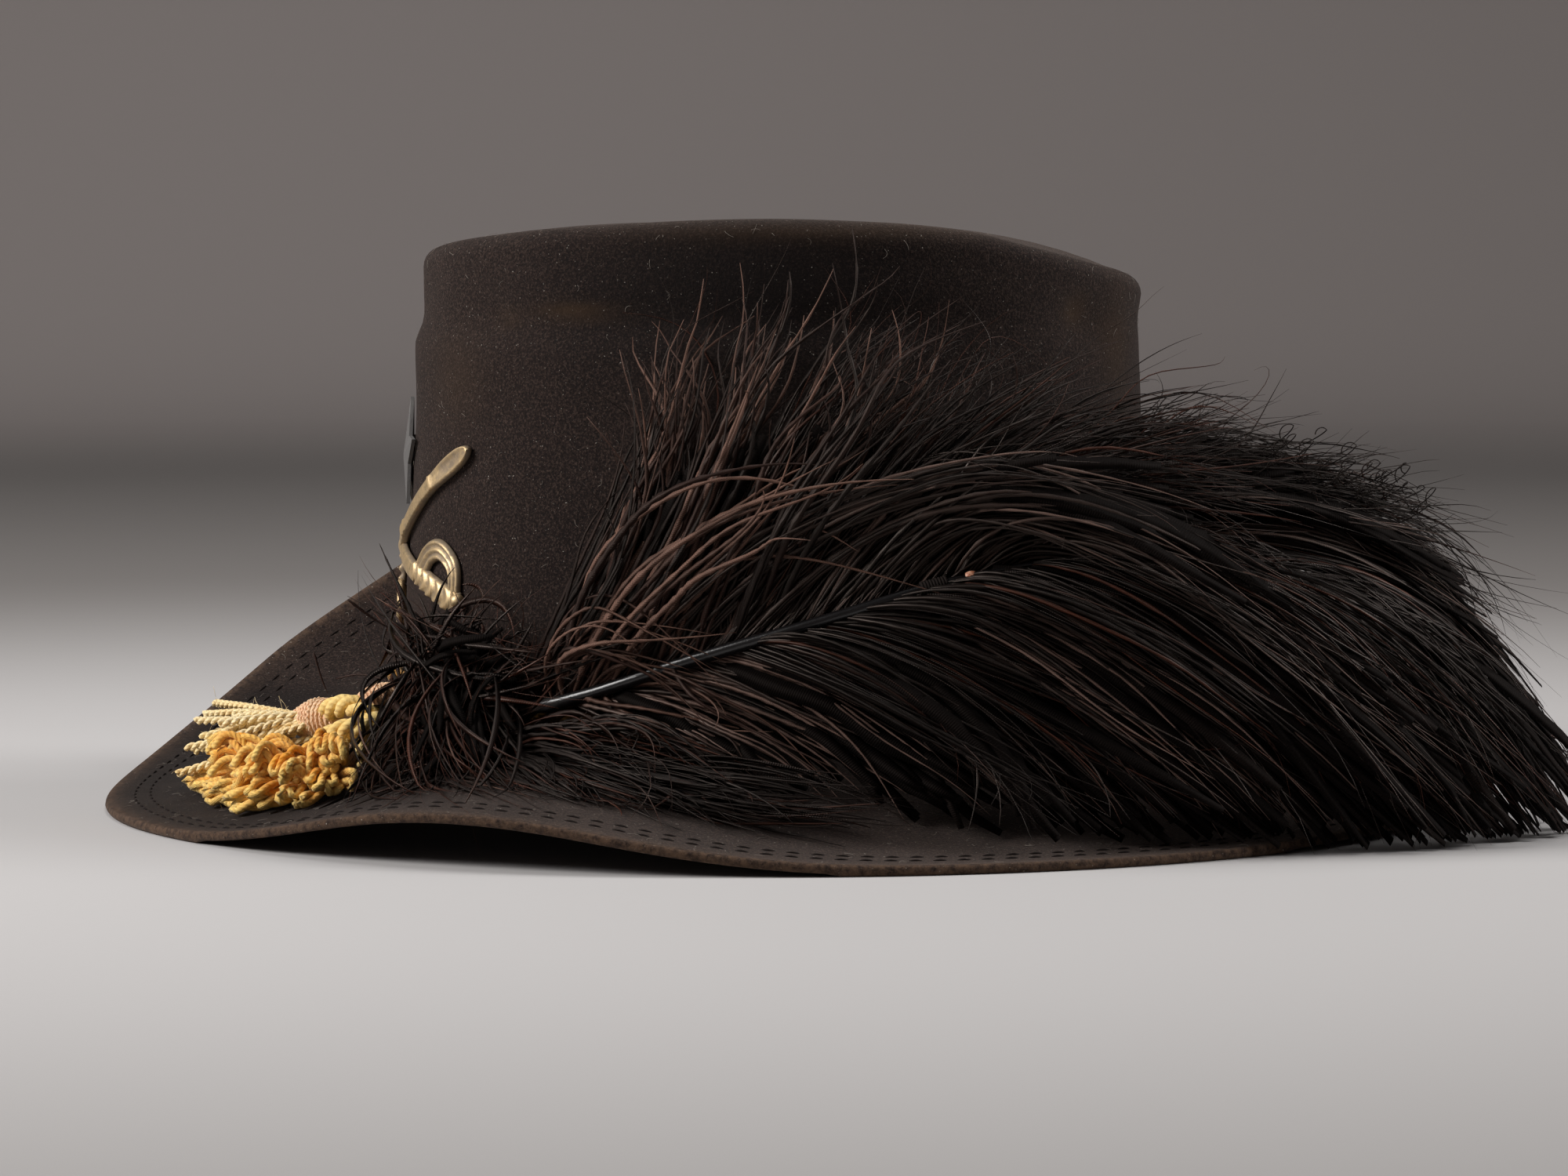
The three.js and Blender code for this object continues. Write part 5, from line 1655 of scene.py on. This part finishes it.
# %% Comb the lower side
loose_combed = (0.6, 0.9, 1.0, 1.6, 2.0, 3.0)
combed = barb_spots(
    quill_line, LOWER_BARBS, 84, 1, loose_combed, 36, 0.95, (0.29, 0.8), even=True, behind=2.0
)
lower_loose = barb_spots(
    quill_line, LOWER_BARBS, 30, 3, (1.5, 2.2, 2.0, 2.5, 2.5, 4), 26, 0.9, (0.3, 0.84), behind=1.0
)
lower_parts = [
    # Painted sheen: the combed barbs get the lightest tones.
    toothed_barbs(combed, 0.65, barb_tones(len(combed), 1.05, 0.2), 0.12),
    toothed_barbs(lower_loose, 0.6, barb_tones(len(lower_loose), 0.6, 0.3), 0.25),
]
add_piece("plume_front_lower", join_shapes(lower_parts), SHEEN_PAINTED_FEATHER)

# %% [markdown]
# The thick end of the feather droops over the brim's back edge down to the table. These barbs run
# on from the spine's far half, long and heavy, with fine ones in front of them.

# %% Let the rest fall over the brim
loose_fall = (2.0, 3.0, 4.0, 2.4, 2.5, 6.0)
falling = barb_spots(quill_line, DRAPE_BARBS, 58, 5, loose_fall, 24, 0.9, (0.5, 0.99), sway=1.4, curl=3.0)
falling_fine = barb_spots(
    quill_line, DRAPE_BARBS, 44, 6, loose_fall, 18, 0.88, (0.5, 0.99), sway=1.6, curl=4.0
)
falling_parts = [
    toothed_barbs(falling, 0.65, barb_tones(len(falling), 0.3, 0.32), 0.3),
    plain_barbs(falling_fine, 0.32, barb_tones(len(falling_fine), 0.35, 0.25)),
]
add_piece("plume_front_falling", join_shapes(falling_parts), FEATHER)

# %% [markdown]
# A second feather lies behind the first along the crown and makes the high outline at the back.
# It has the same three kinds of barb, and below its end a rounded hump of sleek ones falls away.

# %% Grow the rear feather
REAR_SPINE = table(
    "at up out",
    [(60, 0.3, 0.026), (90, 0.42, 0.026), (112, 0.52, 0.034), (132, 0.51, 0.2), (142, 0.46, 0.34)],
)
REAR_BARBS = table(
    BARB_COLUMNS,
    [
        (0.62, 138, 0.639, 0.29, 153, 0.658, 0.56),
        (0.74, 149, 0.604, 0.48, 161, 0.585, 0.83),
        (0.84, 156, 0.558, 0.6, 167, 0.487, 1.03),
        (0.93, 162, 0.505, 0.74, 173, 0.338, 1.22),
        (1.0, 167, 0.449, 0.86, 179, 0.195, 1.36),
    ],
)
HUMP_BARBS = table(
    BARB_COLUMNS,
    [
        (0.8, 151, 0.538, 0.61, 164, 0.429, 1.03),
        (0.9, 156, 0.479, 0.76, 169, 0.253, 1.2),
        (1.0, 160, 0.4, 0.91, 175, 0.085, 1.35),
    ],
)
rear_line = spine_spots(REAR_SPINE)
rear_shade_web_steps = 11
loose_rear = (2.2, 3.5, 3.5, 3.0, 5.0, 6.0)
rear_shade_web = barb_spots(rear_line, REAR_BARBS, 90, 1, loose_shade_web, 14, 0.85, even=True, behind=4.0)
rear_shade_web = rear_shade_web[:, :rear_shade_web_steps] - (0, 5.0, 0)
hump_shade_web = barb_spots(rear_line, HUMP_BARBS, 60, 1, loose_shade_web, 14, 0.85, even=True, behind=2.0)
hump_spots = barb_spots(rear_line, HUMP_BARBS, 40, 4, loose_arch, 22, 0.8, sway=1.0, curl=2.0)
rear_toothed = barb_spots(rear_line, REAR_BARBS, 40, 4, loose_rear, 24, 0.75, sway=2.2, curl=5.0)
rear_fine = barb_spots(rear_line, REAR_BARBS, 40, 6, loose_rear, 22, 0.7, sway=2.6, curl=5.0)
rear_parts = [
    toothed_barbs(rear_toothed, 0.46, barb_tones(len(rear_toothed), 0.25, 0.2)),
    plain_barbs(rear_fine, 0.32, barb_tones(len(rear_fine), 0.3, 0.25)),
]
add_piece("plume_back", join_shapes(rear_parts), FEATHER, ["plume_rear"])
# Painted sheen: the hump's barbs take the sheen-painted finish.
hump_barbs = toothed_barbs(hump_spots, 0.6, barb_tones(len(hump_spots), 0.45, 0.2), 0.2)
add_piece("plume_hump", hump_barbs, SHEEN_PAINTED_FEATHER)
# Painted shade: near-black ribbons behind the rear feather and the hump.
rear_shade_webs = [shade_web_ribbons(spots, 2.0, barb_tones(len(spots), 0.3, 0.2)) for spots in (rear_shade_web, hump_shade_web)]
add_piece("plume_back_shade_web", join_shapes(rear_shade_webs), SHADE_WEB)

# %% [markdown]
# A short feather lies on the brim under the quill and hides the felt there. Its barbs point back
# along the brim, and the guides keep their tips just over the felt.

# %% Grow the short feather on the brim
UNDER_SPINE = table("at up out", [(50, 0.12, 0.27), (58, 0.12, 0.3), (68, 0.12, 0.33)])
UNDER_BARBS = table(
    BARB_COLUMNS,
    [
        (0.0, 61, 0.108, 0.52, 67, 0.085, 0.7),
        (0.3, 68, 0.112, 0.54, 76, 0.078, 0.74),
        (0.65, 76, 0.112, 0.54, 88, 0.068, 0.76),
        (1.0, 86, 0.114, 0.53, 104, 0.066, 0.74),
    ],
)
UPPER_FRINGE = table(
    BARB_COLUMNS,
    [
        (0.0, 60, 0.18, 0.36, 68, 0.13, 0.48),
        (0.5, 70, 0.183, 0.42, 82, 0.118, 0.52),
        (1.0, 80, 0.167, 0.42, 92, 0.093, 0.53),
    ],
)
under_line = spine_spots(UNDER_SPINE)
loose_under = (2.5, 3.5, 3.0, 3.0, 2.0, 4.0)
under_toothed = barb_spots(under_line, UNDER_BARBS, 44, 4, loose_under, 20, 0.75, curl=2.0)
under_upper = barb_spots(under_line, UPPER_FRINGE, 26, 4, (2.5, 3, 3, 3, 3, 4), 20, 0.7, curl=2.0)
under_fine = barb_spots(under_line, UNDER_BARBS, 30, 5, loose_under, 16, 0.7, curl=2.0)
under_parts = [
    toothed_barbs(under_toothed, 0.85, barb_tones(len(under_toothed), 0.3, 0.25)),
    toothed_barbs(under_upper, 0.75, barb_tones(len(under_upper), 0.55, 0.25)),
    plain_barbs(under_fine, 0.36, barb_tones(len(under_fine), 0.35, 0.2)),
]
add_piece("plume_short", join_shapes(under_parts), FEATHER, ["plume_under"])

# %% [markdown]
# ## Strays and curls
# Single barbs stand off the crown in front, and at the back the ends of some barbs have curled into
# open rings. They are few, but they are what the outline shows.

# %% Add strays and curls
def curled_ends(count):
    where = rng.uniform(0, 1, count)
    height = (0.62 - 0.09 * where) * hat_height
    start = np.stack([150 + 14 * where, height, (0.62 + 0.34 * where) * brim_width], -1)
    start = start + rng.normal(0, 1, (count, 3)) * (2.0, 3.0, 4.0)
    t = np.linspace(0, 1, 22)[None, :, None]
    turn = (1.0 + 4.6 * t) * rng.uniform(0.8, 1.15, (count, 1, 1)) + rng.uniform(-0.5, 0.5, (count, 1, 1))
    radius = rng.uniform(1.6, 3.6, (count, 1, 1)) * (1 - 0.55 * t)
    side = np.where(rng.uniform(size=(count, 1, 1)) < 0.7, 1, -1)
    points = spots_to_points(start)[:, None]
    ring = np.concatenate([np.sin(turn), 0.5 * side * t, 1 - np.cos(turn)], axis=-1) * radius
    lead = np.concatenate([-9 * (1 - t) ** 2, 0 * t, -3 * (1 - t) ** 2], axis=-1) * np.clip(1 - 3 * t, 0, 1)
    return tubes(points + ring + lead, 0.2, 3, [0, -1.0, 0], tone=rng.uniform(0.1, 0.6, count))


STRAYS = table(
    BARB_COLUMNS,
    [
        (0.2, 63, 0.544, 0.14, 56, 0.687, 0.12),
        (0.24, 68, 0.645, 0.11, 66, 0.783, 0.04),
        (0.34, 80, 0.697, 0.12, 79, 0.872, 0.04),
        (0.5, 104, 0.723, 0.16, 109, 0.847, 0.11),
        (0.62, 124, 0.722, 0.32, 135, 0.809, 0.42),
        (0.7, 134, 0.673, 0.53, 147, 0.72, 0.7),
    ],
)
strays = barb_spots(quill_line, STRAYS, 44, 1, (3, 4, 4, 5, 9, 5), 22, 0.7, sway=2.5, curl=6.0, behind=2.0)
stray_parts = [plain_barbs(strays, 0.24, barb_tones(len(strays), 0.5, 0.3)), curled_ends(34)]
add_piece("plume_strays", join_shapes(stray_parts), FEATHER)

# %% [markdown]
# ## The tuft
# Where the feathers start they are bound together, and broken stubs of barbs and strips of horn
# stick out on all sides. They are short bent ribbons with no order, so chance places them round
# the tuft's middle, and the rows of the solid's tips say how far they may reach.

# %% Scatter the tuft
TUFT = (44, 0.23, 0.2)
TUFT_TIPS = [
    (29, 0.4, 0.24),
    (32, 0.3, 0.1),
    (31, 0.2, 0.22),
    (41, 0.07, 0.58),
    (46, 0.05, 0.72),
    (50, 0.05, 0.78),
    (54, 0.05, 0.8),
    (58, 0.05, 0.8),
    (62, 0.05, 0.8),
    (66, 0.06, 0.76),
    (58, 0.16, 0.36),
    (60, 0.24, 0.28),
    (58, 0.35, 0.2),
    (50, 0.38, 0.17),
    (38, 0.42, 0.15),
    (66, 0.3, 0.28),
    (45, 0.2, 0.36),
    (40, 0.3, 0.3),
]
plume_scale = np.array([1, hat_height, brim_width])


def tuft_spots(count, steps, low, high, bowed):
    tips = np.array(TUFT_TIPS)[rng.integers(0, len(TUFT_TIPS), count)] * plume_scale
    root = np.array(TUFT) * plume_scale + rng.normal(0, 1, (count, 3)) * (5.0, 7.0, 4.0)
    tips = tips + rng.normal(0, 1, (count, 3)) * (3.0, 4.5, 3.5)
    tips = root + (tips - root) * rng.uniform(low, high, (count, 1))
    bend = (root + tips) / 2 + rng.normal(0, 1, (count, 3)) * bowed
    t = np.linspace(0, 1, steps)[None, :, None]
    return root[:, None] * (1 - t) ** 2 + 2 * bend[:, None] * t * (1 - t) + tips[:, None] * t * t


def torn_strips(spots, half, tone):
    """Flat strips that turn over along their length."""
    count, steps = spots.shape[:2]
    spots = keep_clear(spots, half)
    taper = np.interp(np.linspace(0, 1, steps), [0, 0.25, 0.6, 1], [0.5, 1.0, 0.9, 0.12])
    size = half * rng.uniform(0.45, 1.5, (count, 1)) * taper
    roll = rng.uniform(0, 6, (count, 1, 1))
    roll = roll + rng.normal(0, 2.0, (count, 1, 1)) * np.linspace(0, 1, steps)[None, :, None]
    outward = away_from_crown(spots[..., 0])
    lift = np.cos(roll) * outward + np.sin(roll) * np.cross(outward, [0, 0, 1.0]) + [0, 0, 0.3]
    return tubes(spots_to_points(spots), size, 4, lift, 0.16, tone=tone)


# Painted shade: near-black ribbons in the tuft's middle, for the shade between its strips.
tuft_shade_core = shade_web_ribbons(tuft_spots(150, 9, 0.25, 0.62, (3, 4, 4)), 1.25, barb_tones(150, 0.2, 0.2))
add_piece("tuft_shade_core", tuft_shade_core, SHADE_WEB, ["plume_tuft"])
strips = torn_strips(tuft_spots(220, 14, 0.55, 1.05, (6, 8, 7)), 0.85, barb_tones(220, 0.45, 0.3))
# Painted highlight: the fine hairs get the brightest tone, for the light catching them.
tuft_hairs = plain_barbs(tuft_spots(240, 12, 0.5, 1.12, (4, 5, 6)), 0.13, barb_tones(240, 1.0, 0.2))
tuft_toothed = toothed_barbs(tuft_spots(110, 18, 0.6, 1.12, (4, 5, 5)), 0.6, barb_tones(110, 0.4, 0.3))
SPIKES = [
    [(30, 0.375, 0.38), (32, 0.34, 0.3), (35, 0.31, 0.22)],
    [(28, 0.29, 0.47), (28.5, 0.25, 0.45), (29, 0.22, 0.43)],
    [(33, 0.1, 0.5), (35, 0.12, 0.42), (38, 0.14, 0.34)],
    [(26, 0.24, 0.36), (30, 0.25, 0.32), (36, 0.24, 0.28)],
]
spikes = np.stack([smooth_path(np.array(rows) * plume_scale, 18) for rows in SPIKES])
tuft_spikes = toothed_barbs(spikes, 0.5, np.full(len(SPIKES), 0.5))
add_piece("tuft", join_shapes([strips, tuft_hairs]), FEATHER)
add_piece("tuft_barbs", join_shapes([tuft_toothed, tuft_spikes]), BROWN_FEATHER)

# %% [markdown]
# ## The quill and its tie
# The bare shaft is polished black horn, and its thick end is painted pale grey in streaks, a painted
# highlight. It was cut off short: the cut is a small coppery nub, and a dark thread is wound round
# it. Beyond the nub only the thin spine of the feather goes on.

# %% Mix the horn's finishes
def quill_finish():
    material, tree, shader = new_finish("polished_horn", Roughness=0.26)
    share = mark(tree, "share")
    # Painted highlight: the thick end of the shaft turns pale grey, broken into streaks.
    painted_highlight_end = between(tree, share, 0.12, 0.3, 0.75, 0.0)
    streaks = between(tree, noise(tree, 140, 4, 0.6), 0.3, 0.7)
    colour = blend(tree, sum_of(tree, "MULTIPLY", painted_highlight_end, streaks), tint(15, 13, 14), tint(92, 88, 86))
    tree.links.new(colour, shader.inputs["Base Color"])
    bump(tree, shader, noise(tree, 500, 4, 0.6), 0.0002, 0.4)
    return material


def nub_finish():
    material, tree, shader = new_finish("cut_horn", Roughness=0.35)
    patches = between(tree, noise(tree, 900, 3), 0.35, 0.65)
    colour = blend(tree, patches, tint(235, 190, 160), tint(170, 96, 64))
    tree.links.new(colour, shader.inputs["Base Color"])
    bump(tree, shader, noise(tree, 1200, 3), 0.0002, 0.6)
    return material


QUILL_HORN = quill_finish()
CUT_HORN = nub_finish()
print("horns:", [finish.name for finish in (QUILL_HORN, CUT_HORN)])

# %% [markdown]
# The shaft is a tube that narrows behind the nub. A plain cylinder would end in a flat cut, so the
# nub is a short tube with five bends that bulges like a cut that was pressed.

# %% Shape the shaft and its nub
bare_share = 7 / 9
quill_path = quill_line[: int(spine_samples * bare_share)]
quill_points = spots_to_points(quill_path + (0, 0, 1.5))
shaft_share = np.linspace(0, 1, len(quill_points))
shaft_half = 1.75 * np.interp(shaft_share, [0, 0.12, 0.3, 0.84, 0.87, 1], [0.7, 1.0, 1.05, 0.92, 0.45, 0.25])
shaft = tubes(quill_points[None], shaft_half[None], 12, away_from_crown(quill_path[:, 0])[None], 0.85)
add_piece("quill", shaft, QUILL_HORN, ["plume_quill"])

nub_share = 0.865
nub_at = int(len(quill_points) * nub_share)
axis = unit(quill_points[nub_at + 3] - quill_points[nub_at - 3])
nub_middle = quill_points[nub_at] + [0, -0.7, 0.4]
nub_path = nub_middle + axis * np.array([-1.5, -1.3, -0.4, 0.5, 1.2, 1.5])[:, None]
nub = tubes(nub_path[None], np.array([[0.7, 1.15, 1.35, 1.3, 0.95, 0.4]]), 10, [0, 0, 1.0])
add_piece("quill_nub", nub, CUT_HORN)

# %% [markdown]
# The thread is wound round the shaft just before the nub, and its ends hang down over the barbs.
# The winding is one tube on a helix, and the ends are three soft curves.

# %% Wind the thread
tie_share = 0.83
tie_turns = 9
tie_length = 7
coil_radius = 1.9
tie_middle = quill_points[int(len(quill_points) * tie_share)]
wind = np.linspace(0, 1, tie_turns * 16)
turn = 2 * math.pi * tie_turns * wind
side = unit(np.cross(axis, [0, 0, 1.0]))
other = np.cross(axis, side)
around = np.cos(turn)[:, None] * side + np.sin(turn)[:, None] * other
coil = tie_middle + axis * ((wind - 0.5) * tie_length)[:, None] + coil_radius * around
hanging = table("right down out", [(0, 1.5, 2.2), (3, 8, 3.2), (6, 17, 3.4), (10, 25, 3.6), (15, 32, 3.6)])
ends = np.stack([hanging["right"], -hanging["out"], -hanging["down"]], -1) + tie_middle
held = [[0], [1], [1], [1], [1]]
tails = [smooth_path(ends + rng.normal(0, 0.8, ends.shape) * held, 24) for i in range(3)]
winding = tubes(coil[None], 0.42, 6, around[None])
thread_parts = [winding, tubes(np.stack(tails), 0.28, 5, [0.2, -1.0, 0.1])]
add_piece("tie", join_shapes(thread_parts), THREAD, ["quill_tie"])

# %% Measure and finish
meshes = [piece.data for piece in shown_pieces() if piece.type == "MESH"]
print("triangles in all:", sum(len(face.vertices) - 2 for mesh in meshes for face in mesh.polygons))
